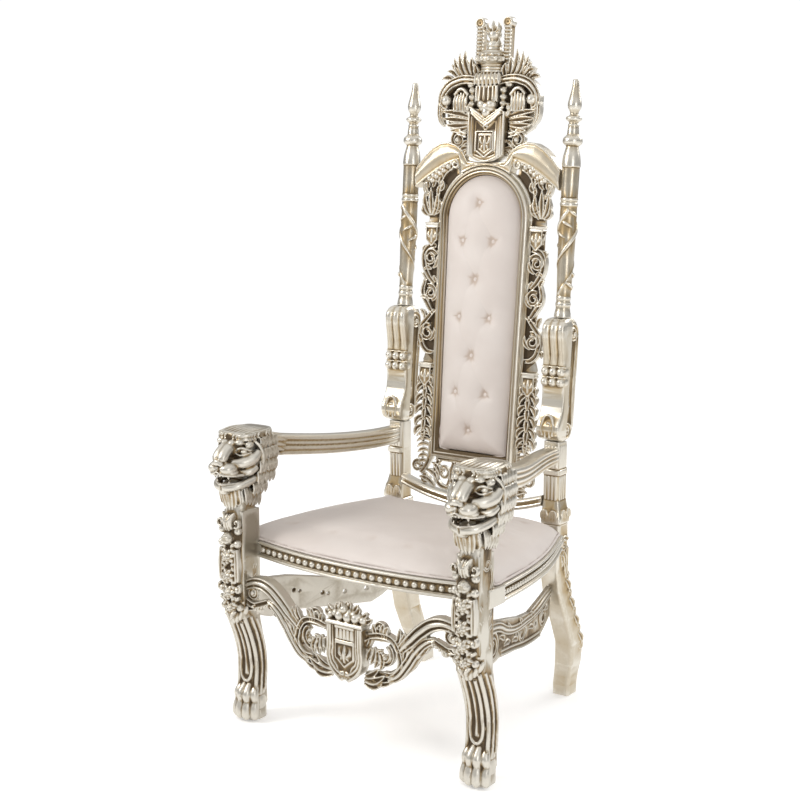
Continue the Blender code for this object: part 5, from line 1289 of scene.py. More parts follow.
def post():
    """Turned post with a spiral vine carved on its lower shaft."""
    turning = [(0.0, 1.701), (0.007, 1.7005), (0.0082, 1.697), (0.0092, 1.68), (0.0125, 1.664),
               (0.016, 1.65),
               (0.0182, 1.64), (0.0186, 1.633), (0.017, 1.625), (0.012, 1.617), (0.0108, 1.612),
               (0.0112, 1.608),
               (0.015, 1.6055), (0.0205, 1.603), (0.0216, 1.599), (0.0205, 1.595), (0.015, 1.592),
               (0.0122, 1.589),
               (0.0122, 1.586), (0.015, 1.5835), (0.015, 1.581), (0.0138, 1.578), (0.0152, 1.57),
               (0.0156, 1.562),
               (0.0156, 1.557), (0.02, 1.553), (0.0252, 1.548), (0.0266, 1.541), (0.0252, 1.534),
               (0.02, 1.53),
               (0.016, 1.528), (0.0168, 1.524), (0.0195, 1.514), (0.0225, 1.502), (0.0243, 1.488),
               (0.025, 1.474),
               (0.0248, 1.474), (0.0232, 1.4735), (0.023, 1.47), (0.0228, 1.43), (0.0222, 1.393),
               (0.0236, 1.3915),
               (0.0236, 1.387), (0.0218, 1.3855), (0.0218, 1.381), (0.024, 1.379), (0.024, 1.373),
               (0.022, 1.37),
               (0.0226, 1.34), (0.0228, 1.29), (0.0218, 1.23), (0.0204, 1.18), (0.019, 1.15),
               (0.0186, 1.135),
               (0.0198, 1.1325), (0.0198, 1.127), (0.0186, 1.125), (0.0188, 1.118), (0.0205, 1.116),
               (0.0208, 1.11),
               (0.019, 1.107), (0.0192, 1.1), (0.0215, 1.09), (0.0232, 1.0785), (0.0, 1.0785)]
    shapes = [lathe(turning, (REAR_X, 0.0), 40)]
    vines = []
    for start in (0.0, math.pi):
        path = []
        for i in range(25):
            share = i / 24
            z = 1.362 - 0.222 * share
            radius = float(np.interp(z, (1.14, 1.23, 1.3, 1.36), (0.0178, 0.0205, 0.0215, 0.0212)))
            angle = start - 2 * math.pi * 1.15 * share - math.radians(60)
            path.append((REAR_X + radius * math.cos(angle), radius * math.sin(angle), z,
                         0.0046 + 0.0018 * math.sin(6 * share)))
        vines.append(path)
    for k in range(8):
        z = 1.35 - 0.027 * k
        share = (1.362 - z) / 0.222
        angle = -2 * math.pi * 1.15 * share - math.radians(60) + 0.9
        radius = 0.0215
        vines.append([(REAR_X + radius * math.cos(angle + t), radius * math.sin(angle + t),
                       z - 0.012 * t + 0.004, r)
                      for t, r in ((-0.5, 0.002), (0.0, 0.0048), (0.6, 0.004), (1.0, 0.0016))])
    shapes.append(strands(vines, smooth=3))
    body = fused(shapes, FINE_GRAIN, 22000, ease=2)
    pair("turned_post", body, "post", PLAIN_LEAF, BACK, sharp=0)


# Pearls and mouldings, made with Geometry Nodes

def node_tree(name, sockets):
    """An empty geometry tree with a geometry input and output, and its named inputs."""
    tree = bpy.data.node_groups.new(name, "GeometryNodeTree")
    tree.interface.new_socket("Path", in_out="INPUT", socket_type="NodeSocketGeometry")
    for label, kind in sockets:
        tree.interface.new_socket(label, in_out="INPUT", socket_type=kind)
    tree.interface.new_socket("Mesh", in_out="OUTPUT", socket_type="NodeSocketGeometry")
    return tree, tree.nodes.new("NodeGroupInput"), tree.nodes.new("NodeGroupOutput")


def finish_tree(tree, geometry, target, material):
    """Realize Instances and Set Material close every tree."""
    real = tree.nodes.new("GeometryNodeRealizeInstances")
    coat = tree.nodes.new("GeometryNodeSetMaterial")
    coat.inputs["Material"].default_value = material
    tree.links.new(geometry, real.inputs["Geometry"])
    tree.links.new(real.outputs["Geometry"], coat.inputs["Geometry"])
    tree.links.new(coat.outputs["Geometry"], target.inputs["Mesh"])


def pearl_tree(material):
    """Pearls at an even pitch along a path."""
    tree, given, target = node_tree("pearl_row", (("Pitch", "NodeSocketFloat"),
                                                  ("Radius", "NodeSocketFloat"),
                                                  ("Height", "NodeSocketFloat")))
    curve = tree.nodes.new("GeometryNodeMeshToCurve")
    even = tree.nodes.new("GeometryNodeResampleCurve")
    even.mode = "LENGTH"
    pearl = tree.nodes.new("GeometryNodeMeshUVSphere")
    pearl.inputs["Segments"].default_value = 12
    pearl.inputs["Rings"].default_value = 8
    stretch = tree.nodes.new("ShaderNodeCombineXYZ")
    spread = tree.nodes.new("GeometryNodeInstanceOnPoints")
    tree.links.new(given.outputs["Path"], curve.inputs["Mesh"])
    tree.links.new(curve.outputs["Curve"], even.inputs["Curve"])
    tree.links.new(given.outputs["Pitch"], even.inputs["Length"])
    tree.links.new(given.outputs["Radius"], pearl.inputs["Radius"])
    for axis, value in (("X", 1.0), ("Y", 1.0)):
        stretch.inputs[axis].default_value = value
    tree.links.new(given.outputs["Height"], stretch.inputs["Z"])
    tree.links.new(even.outputs["Curve"], spread.inputs["Points"])
    tree.links.new(pearl.outputs["Mesh"], spread.inputs["Instance"])
    tree.links.new(stretch.outputs["Vector"], spread.inputs["Scale"])
    finish_tree(tree, spread.outputs["Instances"], target, material)
    return tree


def moulding_tree(material):
    """A profile swept along a level path."""
    tree, given, target = node_tree("swept_moulding", (("Profile", "NodeSocketObject"),))
    path = tree.nodes.new("GeometryNodeMeshToCurve")
    upright = tree.nodes.new("GeometryNodeSetCurveNormal")
    upright.mode = "Z_UP"
    edge = tree.nodes.new("GeometryNodeObjectInfo")
    section = tree.nodes.new("GeometryNodeMeshToCurve")
    sweep = tree.nodes.new("GeometryNodeCurveToMesh")
    sweep.inputs["Fill Caps"].default_value = True
    tree.links.new(given.outputs["Path"], path.inputs["Mesh"])
    tree.links.new(path.outputs["Curve"], upright.inputs["Curve"])
    tree.links.new(upright.outputs["Curve"], sweep.inputs["Curve"])
    tree.links.new(given.outputs["Profile"], edge.inputs["Object"])
    tree.links.new(edge.outputs["Geometry"], section.inputs["Mesh"])
    tree.links.new(section.outputs["Curve"], sweep.inputs["Profile Curve"])
    finish_tree(tree, sweep.outputs["Mesh"], target, material)
    return tree


def line(points, closed=False):
    """A mesh of edges through points."""
    mesh = bpy.data.meshes.new("line")
    edges = [(i, i + 1) for i in range(len(points) - 1)]
    if closed:
        edges.append((len(points) - 1, 0))
    mesh.from_pydata(points, edges, [])
    return mesh


def grown(mesh, tree, **inputs):
    """The plain mesh that a geometry tree makes from a path."""
    thing = loose(mesh)
    modifier = thing.modifiers.new(tree.name, "NODES")
    modifier.node_group = tree
    for item in tree.interface.items_tree:
        if item.item_type == "SOCKET" and item.in_out == "INPUT" and item.name in inputs:
            modifier[item.identifier] = inputs[item.name]
    return evaluated(thing)


PEARLS = pearl_tree(CARVED_LEAF)
MOULDING = moulding_tree(PLAIN_LEAF)
RAIL_FACE = ((0.044, 0.0), (0.007, 0.0), (0.002, -0.0014), (0.0002, -0.0042), (0.0016, -0.0075),
             (0.005, -0.0088),
             (0.0054, -0.0112), (0.0095, -0.0124), (0.0095, -0.0316), (0.0054, -0.0326), (0.0046, -0.0346),
             (0.0004, -0.037), (0.0002, -0.0405), (0.003, -0.0436), (0.007, -0.0448), (0.044, -0.0448))


def moulded_rail(points, pitch, radius, height):
    """A seat rail: its swept face and a row of pearls in the bed."""
    edge = loose(line([(-behind, -rise, 0.0) for behind, rise in RAIL_FACE], closed=True))
    face = grown(line(points), MOULDING, Profile=edge)
    bpy.data.objects.remove(edge, do_unlink=True)
    bm = bmesh.new()
    bm.from_mesh(face)
    bmesh.ops.remove_doubles(bm, verts=bm.verts, dist=0.00001)
    bmesh.ops.recalc_face_normals(bm, faces=bm.faces)
    face = from_bmesh(bm)
    bed = []
    for i, (x, y, z) in enumerate(points):
        before, after = points[max(0, i - 1)], points[min(len(points) - 1, i + 1)]
        along = Vector((after[0] - before[0], after[1] - before[1], 0.0)).normalized()
        inward = Vector((-along.y, along.x, 0.0)) * (0.0085 if radius > 0.008 else 0.006)
        bed.append((x + inward.x, y + inward.y, RAIL_TOP - 0.022))
    total = sum((Vector(b) - Vector(a)).length for a, b in zip(bed, bed[1:]))
    spare = (total - pitch * int(total / pitch - 0.4)) / 2
    while (Vector(bed[1]) - Vector(bed[0])).length < spare:
        spare -= (Vector(bed[1]) - Vector(bed[0])).length
        bed.pop(0)
    ahead = (Vector(bed[1]) - Vector(bed[0])).normalized() * spare
    bed[0] = tuple(Vector(bed[0]) + ahead)
    pearls = grown(line(bed), PEARLS, Pitch=pitch, Radius=radius, Height=height)
    return face, pearls


def front_edge(x):
    share = x / 0.331
    return 0.04 - 0.042 * (1 - share * share)


def side_edge(y):
    share = min(max((y - 0.088) / 0.472, 0.0), 1.0)
    return 0.403 - 0.103 * share + 0.026 * math.sin(math.pi * share)


def seat_rails():
    end = 0.3306
    points = [(-end + 2 * end * i / 48, front_edge(-end + 2 * end * i / 48), RAIL_TOP) for i in range(49)]
    face, pearls = moulded_rail(points, 0.0235, 0.0088, 1.0)
    place("front_rail", joined([fused([face], 0.0017, 15000, ease=1), pearls]), ["seat_rail_front"],
          LOWER_SHADED_LEAF, SEAT,
          sharp=35.0)
    points = [(side_edge(0.0884 + 0.4712 * i / 40), 0.0884 + 0.4712 * i / 40, RAIL_TOP) for i in range(41)]
    face, pearls = moulded_rail(points, 0.0135, 0.0058, 1.25)
    pair("side_rail", joined([fused([face], 0.0017, 13000, ease=1), pearls]), "seat_rail", LOWER_SHADED_LEAF, SEAT,
         sharp=35.0)


# Back legs and arms

def back_leg():
    """Raked foot, block, shell collar and fluted column, with a carved strip on the outer back edge."""
    def square(x, y, half, z):
        return rounded_section(x, y, half, half * 1.12, z, 32, 0.28)

    sections = [square(0.244, 0.69, 0.0255, 0.0), square(0.244, 0.69, 0.0258, 0.03),
                square(0.2505, 0.684, 0.0262, 0.06),
                square(0.262, 0.672, 0.028, 0.1), square(0.274, 0.654, 0.0296, 0.17),
                square(0.268, 0.626, 0.0291, 0.25),
                square(0.259, 0.601, 0.0287, 0.33), square(0.2555, 0.593, 0.029, 0.39),
                rounded_section(0.255, 0.59, 0.0298, 0.0298, 0.415, 32, 0.25),
                rounded_section(0.255, 0.59, 0.0298, 0.0298, 0.519, 32, 0.25),
                rounded_section(0.255, 0.59, 0.0248, 0.0248, 0.523, 32, 0.3)]
    sections += [rounded_section(0.255, 0.59, 0.0246, 0.0246, z, 32, 0.3) for z in (0.6, 0.7, 0.73)]
    ring = rounded_section(0.255, 0.59, 0.0246, 0.0246, 0.0, 32, 0.3)
    sections.append([(x, y, 0.747 - 0.082 * (y - 0.586)) for x, y, _ in ring])
    shapes = [loft(sections)]
    collar = [rounded_section(0.255 + grow / 2, 0.59 - grow / 2, 0.0246 + grow / 2, 0.0246 + grow / 2, z,
                              32, 0.3)
              for grow, z in ((0.006, 0.522), (0.0135, 0.526), (0.0125, 0.54), (0.0065, 0.562),
                              (0.0015, 0.584), (0.0, 0.59))]
    shapes.append(loft(collar))
    for z in (0.659, 0.664, 0.669):
        shapes.append(loft([rounded_section(0.257, 0.588, 0.0262, 0.0262, z + step, 32,
                                            0.3) for step in (-0.0016, 0.0016)]))
    flutes = []
    for shift in (-0.0155, -0.0052, 0.0052, 0.0155):
        for low, high in ((0.59, 0.652), (0.678, 0.735)):
            flutes.append([(0.255 + shift, 0.5665, low, 0.003), (0.255 + shift, 0.5665, high, 0.003)])
            flutes.append([(0.2785, 0.59 + shift, low, 0.003), (0.2785, 0.59 + shift, high, 0.003)])
    shapes.append(strands(flutes, sides=2))
    fans = []
    for middle in (-0.0125, 0.015):
        for radius in (0.0105, 0.0075, 0.0045):
            fans.append([(middle + radius * math.cos(a), 0.5455 + radius * 1.5 * math.sin(a), 0.0018)
                         for a in (math.radians(d) for d in range(-30, 211, 30))])
        fans.append([(middle, 0.53, 0.002), (middle, 0.556, 0.002)])
    relief = carve(fans, ROUND, flat=1.3, smooth=3)
    shapes.append(turned(relief, Matrix.Translation((0.255, 0.5545, 0.0))))
    side_turn = Matrix.Translation((0.2905, 0.59, 0.0)) @ Matrix.Rotation(math.pi / 2, 4, "Z")
    shapes.append(turned(relief, side_turn))
    strip = [volute((0.004, 0.462), 0.02, 20, 1.15, 0.0078),
             [(0.022, 0.452, 0.0066), (0.02, 0.42, 0.0072), (0.022, 0.38, 0.0062)],
             leaf((0.0, 0.444), (0.006, 0.405), 0.009, 0.1, 0.003),
             leaf((0.006, 0.414), (0.012, 0.368), 0.009, 0.1, 0.003),
             leaf((-0.01, 0.436), (-0.006, 0.402), 0.0075, 0.1, 0.003)]
    outward = Matrix.Rotation(math.pi / 2, 4, "Z")
    shapes.append(turned(carve(strip, SCOOP, flat=1.0), Matrix.Translation((0.2845, 0.59, 0.0)) @ outward))
    for i in range(9):
        z = 0.37 - 0.027 * i
        centre_x = float(np.interp(z, (0.0, 0.03, 0.1, 0.17, 0.25, 0.33, 0.4),
                                   (0.244, 0.244, 0.262, 0.274, 0.268, 0.259, 0.2555)))
        centre_y = float(np.interp(z, (0.0, 0.03, 0.1, 0.17, 0.25, 0.33, 0.4),
                                   (0.69, 0.69, 0.672, 0.654, 0.626, 0.601, 0.592)))
        half = 0.0285
        lobe = leaf((0.008, 0.016), (0.025, -0.018), 0.0105, 0.1, 0.003) if i % 2 else volute((0.017, 0.0),
                                                                                              0.012, 100,
                                                                                              -1.0, 0.0048,
                                                                                              8)
        relief = carve([lobe], SCOOP, flat=1.0, smooth=4)
        turn = Matrix.Translation((centre_x + half - 0.001, centre_y, z)) @ Matrix.Rotation(math.pi / 2, 4,
                                                                                            "Z")
        shapes.append(turned(relief, turn))
        shapes.append(ball((centre_x + half * 0.8, centre_y + half * 0.95, z), (0.0085, 0.0085, 0.0115),
                           around=10, rings=7))
    leg = fused(shapes, 0.0017, 28000, ease=1)
    pair("back_leg_carved", leg, "back_leg", PLAIN_LEAF, SEAT, sharp=0)


def arms():
    """Reeded arms with a smooth top, and locks of the mane laid over their front ends."""
    profile = ((-0.6, 0.0), (-0.3, 0.012), (0.0, 0.016), (0.3, 0.012), (0.6, 0.0), (0.84, -0.05),
               (0.98, -0.13), (1.0, -0.2),
               (0.9, -0.26), (0.88, -0.29), (0.98, -0.34), (1.0, -0.4), (0.95, -0.46), (0.85, -0.49),
               (0.85, -0.52),
               (0.97, -0.56), (1.0, -0.62), (0.96, -0.69), (0.84, -0.74), (0.82, -0.78), (0.86, -0.83),
               (0.8, -0.92),
               (0.6, -0.985), (0.3, -1.0))
    outline = list(profile) + [(-a, b) for a, b in reversed(profile) if b < -0.04]
    sections = []
    steps = 30
    for i in range(steps + 1):
        share = i / steps
        ease = share * share * (3 - 2 * share)
        x = 0.355 - 0.096 * ease
        y = 0.1123 + (0.5647 - 0.1123) * share
        top = 0.778 - 0.043 * share - 0.012 * math.sin(math.pi * share)
        half = (0.056 - 0.01 * share) / 2
        deep = 0.06 - 0.012 * share
        sections.append([(x + half * a, y, top - 0.001 + deep * b) for a, b in outline])
    shapes = [loft(sections)]
    locks = []
    for side in (-1, 1):
        for i in range(4):
            z = 0.762 - 0.0125 * i
            reach = 0.05 - 0.007 * i
            locks.append([(0.355 + side * 0.0245, 0.1145, z, 0.0048),
                          (0.354 + side * 0.0265, 0.1145 + reach * 0.5, z - 0.004, 0.0044),
                          (0.352 + side * 0.025, 0.1145 + reach, z - 0.01, 0.0014)])
    for i in range(3):
        x = 0.355 + 0.014 * (i - 1)
        locks.append([(x, 0.1145, 0.7755, 0.005), (x, 0.135, 0.773, 0.0044),
                      (x - 0.001, 0.158, 0.769, 0.0014)])
    shapes.append(strands(locks))
    arm = cut_to(fused(shapes, COARSE_GRAIN, 17000, ease=1), (0.1, 0.1123, 0.6), (0.5, 0.5647, 0.8))
    pair("reeded_arm", arm, "armrest", PLAIN_LEAF, SEAT, sharp=45.0)


# Aprons under the seat

def apron_scrolls():
    """The carved half to the right of the front apron's shield."""
    bands = [
        [(0.343, 0.386, 0.012), (0.3, 0.402, 0.0155), (0.262, 0.398, 0.018), (0.225, 0.374, 0.0185),
         (0.192, 0.342, 0.017),
         (0.168, 0.318, 0.013), (0.158, 0.304, 0.008)],
        [(0.262, 0.356, 0.008), (0.238, 0.346, 0.012), (0.206, 0.314, 0.014), (0.18, 0.276, 0.014),
         (0.152, 0.242, 0.013),
         (0.125, 0.226, 0.01)],
    ]
    shapes = [carve(bands, BAND, flat=1.15, lift=0.001)]
    scooped = [
        volute((0.313, 0.372), 0.018, 100, 1.05, 0.0065),
        [(0.341, 0.352, 0.009), (0.31, 0.34, 0.009), (0.282, 0.348, 0.0085), (0.262, 0.356, 0.008)],
        [(0.341, 0.33, 0.008), (0.318, 0.33, 0.008), (0.3, 0.338, 0.006)],
        [(0.158, 0.306, 0.008), (0.138, 0.332, 0.009), (0.105, 0.338, 0.009), (0.066, 0.33, 0.008)],
        [(0.158, 0.304, 0.0085), (0.162, 0.27, 0.0085), (0.14, 0.244, 0.008), (0.112, 0.24, 0.007)],
        volute((0.108, 0.288), 0.033, 60, -0.9, 0.0085),
        volute((0.118, 0.284), 0.014, 60, -1.1, 0.005),
        leaf((0.09, 0.3), (0.084, 0.25), 0.0085, 0.15, 0.004),
        leaf((0.082, 0.304), (0.072, 0.256), 0.008, 0.1, 0.004),
        leaf((0.098, 0.296), (0.1, 0.246), 0.008, 0.2, 0.004),
        leaf((0.072, 0.3), (0.062, 0.262), 0.0075, 0.0, 0.004),
        leaf((0.056, 0.3), (0.066, 0.322), 0.006, 0.1),
        leaf((0.05, 0.212), (0.118, 0.238), 0.011, -0.1, 0.006),
        leaf((0.052, 0.222), (0.098, 0.252), 0.009, -0.1, 0.004),
        leaf((0.05, 0.204), (0.108, 0.214), 0.009, -0.15, 0.004),
        leaf((0.07, 0.214), (0.142, 0.228), 0.008, -0.12, 0.002),
        leaf((0.15, 0.32), (0.176, 0.364), 0.0075, -0.15, 0.004),
        leaf((0.146, 0.322), (0.162, 0.37), 0.008, -0.1, 0.005),
        leaf((0.154, 0.316), (0.186, 0.352), 0.007, -0.2, 0.003),
        leaf((0.16, 0.312), (0.19, 0.338), 0.0065, -0.2, 0.002),
        volute((0.098, 0.354), 0.018, -30, 0.85, 0.008),
        leaf((0.118, 0.334), (0.13, 0.366), 0.0085, 0.15, 0.005),
        leaf((0.11, 0.334), (0.116, 0.372), 0.0085, 0.1, 0.005),
        leaf((0.084, 0.336), (0.078, 0.364), 0.008, -0.1, 0.004),
        leaf((0.186, 0.29), (0.204, 0.32), 0.0075, 0.15, 0.003),
        leaf((0.178, 0.282), (0.184, 0.318), 0.007, 0.12, 0.003),
        leaf((0.212, 0.3), (0.224, 0.318), 0.006, 0.1), leaf((0.232, 0.32), (0.246, 0.334), 0.006, 0.1),
        leaf((0.25, 0.336), (0.262, 0.344), 0.005, 0.1),
    ]
    shapes.append(carve(scooped, SCOOP, flat=1.5, lift=0.003))
    shapes.append(ball((0.292, 0.002, 0.331), (0.012, 0.014, 0.012)))
    shapes.append(ball((0.118, -0.008, 0.284), (0.006, 0.008, 0.006)))
    shapes.append(ball((0.313, -0.002, 0.372), (0.007, 0.01, 0.007)))
    ribs = [[(0.3 - 0.01 * i, 0.327 + 0.004 * i, 0.0026),
             (0.298 - 0.01 * i, 0.336 + 0.004 * i, 0.003)] for i in range(5)]
    shapes.append(carve(ribs, ROUND, flat=1.4, lift=0.01))
    back_board = [(0.341, 0.398), (0.3, 0.41), (0.258, 0.406), (0.222, 0.386), (0.19, 0.356),
                  (0.168, 0.334), (0.06, 0.344),
                  (0.05, 0.3), (0.06, 0.29), (0.075, 0.318), (0.13, 0.322), (0.148, 0.3), (0.152, 0.264),
                  (0.12, 0.244),
                  (0.052, 0.232), (0.052, 0.206), (0.11, 0.216), (0.158, 0.232), (0.196, 0.266),
                  (0.222, 0.304), (0.252, 0.334),
                  (0.24, 0.352), (0.224, 0.352), (0.204, 0.33), (0.196, 0.332), (0.232, 0.366),
                  (0.262, 0.388), (0.3, 0.39),
                  (0.322, 0.38), (0.322, 0.348), (0.3, 0.344), (0.3, 0.334), (0.341, 0.326)]
    shapes.append(slab(back_board, 0.0, 0.014))
    return shapes


def apron_shield():
    """Corniced shield: reeded border curling into two small volutes, stripes over a small shield."""
    half = 0.0545
    outline = [(-half, 0.35), (-half, 0.246), (-0.046, 0.226), (-0.026, 0.212), (-0.012, 0.199),
               (0.0, 0.204), (0.012, 0.199),
               (0.026, 0.212), (0.046, 0.226), (half, 0.246), (half, 0.35)]
    shapes = [slab(outline, -0.019, 0.014)]
    border = []
    for side in (-1, 1):
        for shift, reach, half_width in ((0.003, 0.0, 0.0036), (0.011, 0.0075, 0.0036),
                                         (0.019, 0.015, 0.0026)):
            x = half - shift
            path = [(side * x, 0.344, half_width), (side * x, 0.3, half_width),
                    (side * x, 0.25 + reach * 0.3, half_width),
                    (side * (x - 0.012), 0.228 + reach * 0.7, half_width)]
            if shift < 0.01:
                path += [(side * 0.026, 0.215, half_width), (side * 0.0105, 0.204, half_width)]
            else:
                path += [(side * 0.016, 0.219 + reach * 0.4, half_width),
                         (side * 0.003, 0.212 + reach * 0.8, half_width)]
            border.append(path)
        border.append(volute((side * 0.013, 0.2115), 0.008, 200 if side > 0 else -20, side * 1.0, 0.003, 8))
    for x in (-0.0225, -0.011, 0.0, 0.011, 0.0225):
        border.append([(x, 0.336, 0.004), (x, 0.312, 0.004)])
    border.append([(-0.029, 0.3055, 0.0026), (0.029, 0.3055, 0.0026)])
    border.append([(-0.029, 0.3405, 0.0026), (0.029, 0.3405, 0.0026)])
    small = [(-0.027, 0.3), (-0.027, 0.262), (0.0, 0.239), (0.027, 0.262), (0.027, 0.3)]
    border += [[(*small[i], 0.0024), (*small[(i + 1) % 5], 0.0024)] for i in range(5)]
    border += [leaf((0.0, 0.25), (0.0, 0.294), 0.006), leaf((0.0, 0.266), (0.015, 0.288), 0.0045, -0.3),
               leaf((0.0, 0.266), (-0.015, 0.288), 0.0045, 0.3),
               leaf((0.0, 0.262), (0.012, 0.254), 0.0036, 0.3),
               leaf((0.0, 0.262), (-0.012, 0.254), 0.0036, -0.3),
               [(-0.012, 0.2655, 0.0022), (0.012, 0.2655, 0.0022)]]
    shapes.append(carve(border, ROUND, flat=1.3, lift=0.019, smooth=4))
    for low, high, wide, front in ((0.344, 0.349, 0.056, 0.0215), (0.3475, 0.3525, 0.0585, 0.025),
                                   (0.352, 0.3565, 0.056, 0.0225)):
        shapes.append(box((-wide, -front, low), (wide, 0.014, high)))
    fruit = []
    for i in range(8):
        side = (i - 3.5) / 3.5
        rise = 0.018 * (1 - side * side)
        shapes.append(ball((side * 0.05, -0.006, 0.366 + rise * 0.7), (0.0105, 0.012, 0.0105), around=14,
                           rings=10))
        fruit.append(leaf((side * 0.046, 0.372 + rise * 0.6),
                          (side * 0.058 + 0.008 * math.sin(3.0 * i), 0.384 + rise * 1.25), 0.0072,
                          0.1 * side, -0.004))
    for x, z, radius in ((-0.02, 0.369, 0.0135), (0.006, 0.368, 0.014), (0.03, 0.369, 0.0125),
                         (-0.006, 0.388, 0.011)):
        shapes.append(ball((x, -0.011, z), (radius, 0.013, radius), around=18, rings=12))
    fruit += [leaf((-0.044, 0.366), (-0.072, 0.378), 0.008, 0.2),
              leaf((0.044, 0.366), (0.076, 0.376), 0.008, -0.2),
              leaf((-0.04, 0.374), (-0.062, 0.392), 0.007, 0.2),
              leaf((0.04, 0.374), (0.06, 0.39), 0.007, -0.2)]
    shapes.append(carve(fruit, SCOOP, flat=1.4, lift=0.004))
    shapes.append(box((-0.052, -0.004, 0.35), (0.052, 0.012, 0.372)))
    return shapes


def front_apron():
    shapes = [both_sides(joined(apron_scrolls()))] + apron_shield()
    apron = fused(shapes, 0.0016, 72000)
    place("shield_apron", cut_to(apron, (-0.3307, -0.1, 0.1), (0.3307, 0.1, 0.5)), ["apron_front"],
          LOWER_SHADED_LEAF, SEAT, sharp=0)


def side_aprons():
    """Boards from leg to leg, with scrolls outside and small drilled holes."""
    start = (0.359, 0.05)
    end = (0.261, 0.56)
    length = math.hypot(end[0] - start[0], end[1] - start[1])
    outline = [(-0.04, 0.382), (0.1, 0.385), (0.22, 0.378), (0.38, 0.358), (0.53, 0.338), (0.68, 0.326),
               (0.84, 0.336),
               (1.04, 0.352), (1.04, 0.276), (0.9, 0.243), (0.82, 0.231), (0.68, 0.241), (0.53, 0.253),
               (0.38, 0.264),
               (0.24, 0.276), (0.1, 0.273), (-0.04, 0.298)]
    holes = []
    for share, z, radius in ((0.26, 0.33, 0.007), (0.3, 0.324, 0.006), (0.46, 0.3, 0.0075),
                             (0.5, 0.294, 0.0065),
                             (0.62, 0.286, 0.0075), (0.78, 0.278, 0.0085)):
        ring = [(length * share + radius * math.cos(-a), z + radius * 0.8 * math.sin(-a))
                for a in [2 * math.pi * k / 14 for k in range(14)]]
        holes.append(ring)
    board = slab([(length * s, z) for s, z in outline], -0.002, 0.0105, holes)

    def along(*knots):
        return [(length * s, z, r) for s, z, r in knots]

    bands = [along((-0.03, 0.366, 0.011), (0.1, 0.371, 0.0125), (0.22, 0.36, 0.013), (0.33, 0.335, 0.012),
                   (0.45, 0.318, 0.011),
                   (0.6, 0.312, 0.011), (0.78, 0.312, 0.011), (0.92, 0.324, 0.011), (1.03, 0.334, 0.011))]
    scooped = [volute((length * 0.14, 0.318), 0.033, 100, -1.2, 0.009),
               volute((length * 0.88, 0.284), 0.027, 120, 1.15, 0.008),
               along((0.26, 0.286, 0.007), (0.42, 0.272, 0.0085), (0.58, 0.256, 0.009),
                     (0.72, 0.247, 0.009), (0.84, 0.242, 0.008)),
               volute((length * 0.55, 0.288), 0.022, 60, -1.15, 0.0066)]
    for share, z, tip_share, tip_z in ((0.4, 0.322, 0.345, 0.354), (0.56, 0.316, 0.52, 0.338),
                                       (0.72, 0.312, 0.68, 0.329),
                                       (0.3, 0.3, 0.38, 0.296), (0.42, 0.292, 0.49, 0.282),
                                       (0.66, 0.286, 0.73, 0.276),
                                       (0.24, 0.33, 0.3, 0.312), (0.96, 0.31, 0.9, 0.3)):
        scooped.append(leaf((length * share, z), (length * tip_share, tip_z), 0.0085, 0.1, 0.003))
    shapes = [board, carve(bands, BAND, flat=0.8, lift=0.0015), carve(scooped, SCOOP, flat=1.0, lift=0.002)]
    mesh = fused(shapes, COARSE_GRAIN, 28000)
    angle = math.atan2(end[1] - start[1], end[0] - start[0])
    mesh.transform(Matrix.Translation((start[0], start[1], 0.0)) @ Matrix.Rotation(angle, 4, "Z"))
    mesh = cut_to(mesh, (0.0, 0.0503, 0.0), (0.6, 0.5597, 0.6))
    pair("scroll_apron", mesh, "apron", LOWER_SHADED_LEAF, SEAT, sharp=0)


def plain_boards():
    """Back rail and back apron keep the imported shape; they get a bevel and the leaf."""
    for node in ("seat_rail_back", "apron_back"):
        bm = bmesh.new()
        bm.from_mesh(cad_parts[node].data)
        bmesh.ops.remove_doubles(bm, verts=bm.verts, dist=0.00002)
        bmesh.ops.dissolve_limit(bm, angle_limit=math.radians(1.0), verts=bm.verts, edges=bm.edges)
        board = modified(from_bmesh(bm), "BEVEL", width=0.0018, segments=2, limit_method="ANGLE")
        board.attributes.new("fine", "FLOAT", "POINT")
        place(node + "_leafed", board, [node], PLAIN_LEAF, Matrix.Identity(4), sharp=50.0)


# Upholstery

def swollen(mesh, held, cap, voxel=0.0075):
    """The mesh filled like a cushion by cloth under pressure; held gives how firmly each vertex is kept."""
    skin = modified(mesh, "REMESH", mode="VOXEL", voxel_size=voxel)
    rest = np.empty(len(skin.vertices) * 3, np.float32)
    skin.vertices.foreach_get("co", rest)
    thing = loose(skin)
    group = thing.vertex_groups.new(name="held")
    for vertex in skin.vertices:
        grip = held(vertex.co)
        if grip > 0:
            group.add([vertex.index], grip, "REPLACE")
    cloth = thing.modifiers.new("cloth", "CLOTH")
    cloth.settings.quality = 3
    cloth.settings.vertex_group_mass = "held"
    cloth.settings.tension_stiffness = 12.0
    cloth.settings.compression_stiffness = 8.0
    cloth.settings.bending_stiffness = 0.6
    cloth.settings.use_pressure = True
    cloth.settings.uniform_pressure_force = 4.0
    cloth.settings.effector_weights.gravity = 0.0
    for number in range(1, 15):
        bpy.context.scene.frame_set(number)
    filled = evaluated(thing)
    moved = np.empty(len(filled.vertices) * 3, np.float32)
    filled.vertices.foreach_get("co", moved)
    rest, moved = rest.reshape(-1, 3), moved.reshape(-1, 3)
    step = moved - rest
    length = np.linalg.norm(step, axis=1, keepdims=True)
    step *= np.minimum(1.0, cap / np.maximum(length, 1e-9))
    filled.vertices.foreach_set("co", (rest + step).ravel())
    bpy.context.scene.frame_set(1)
    return filled


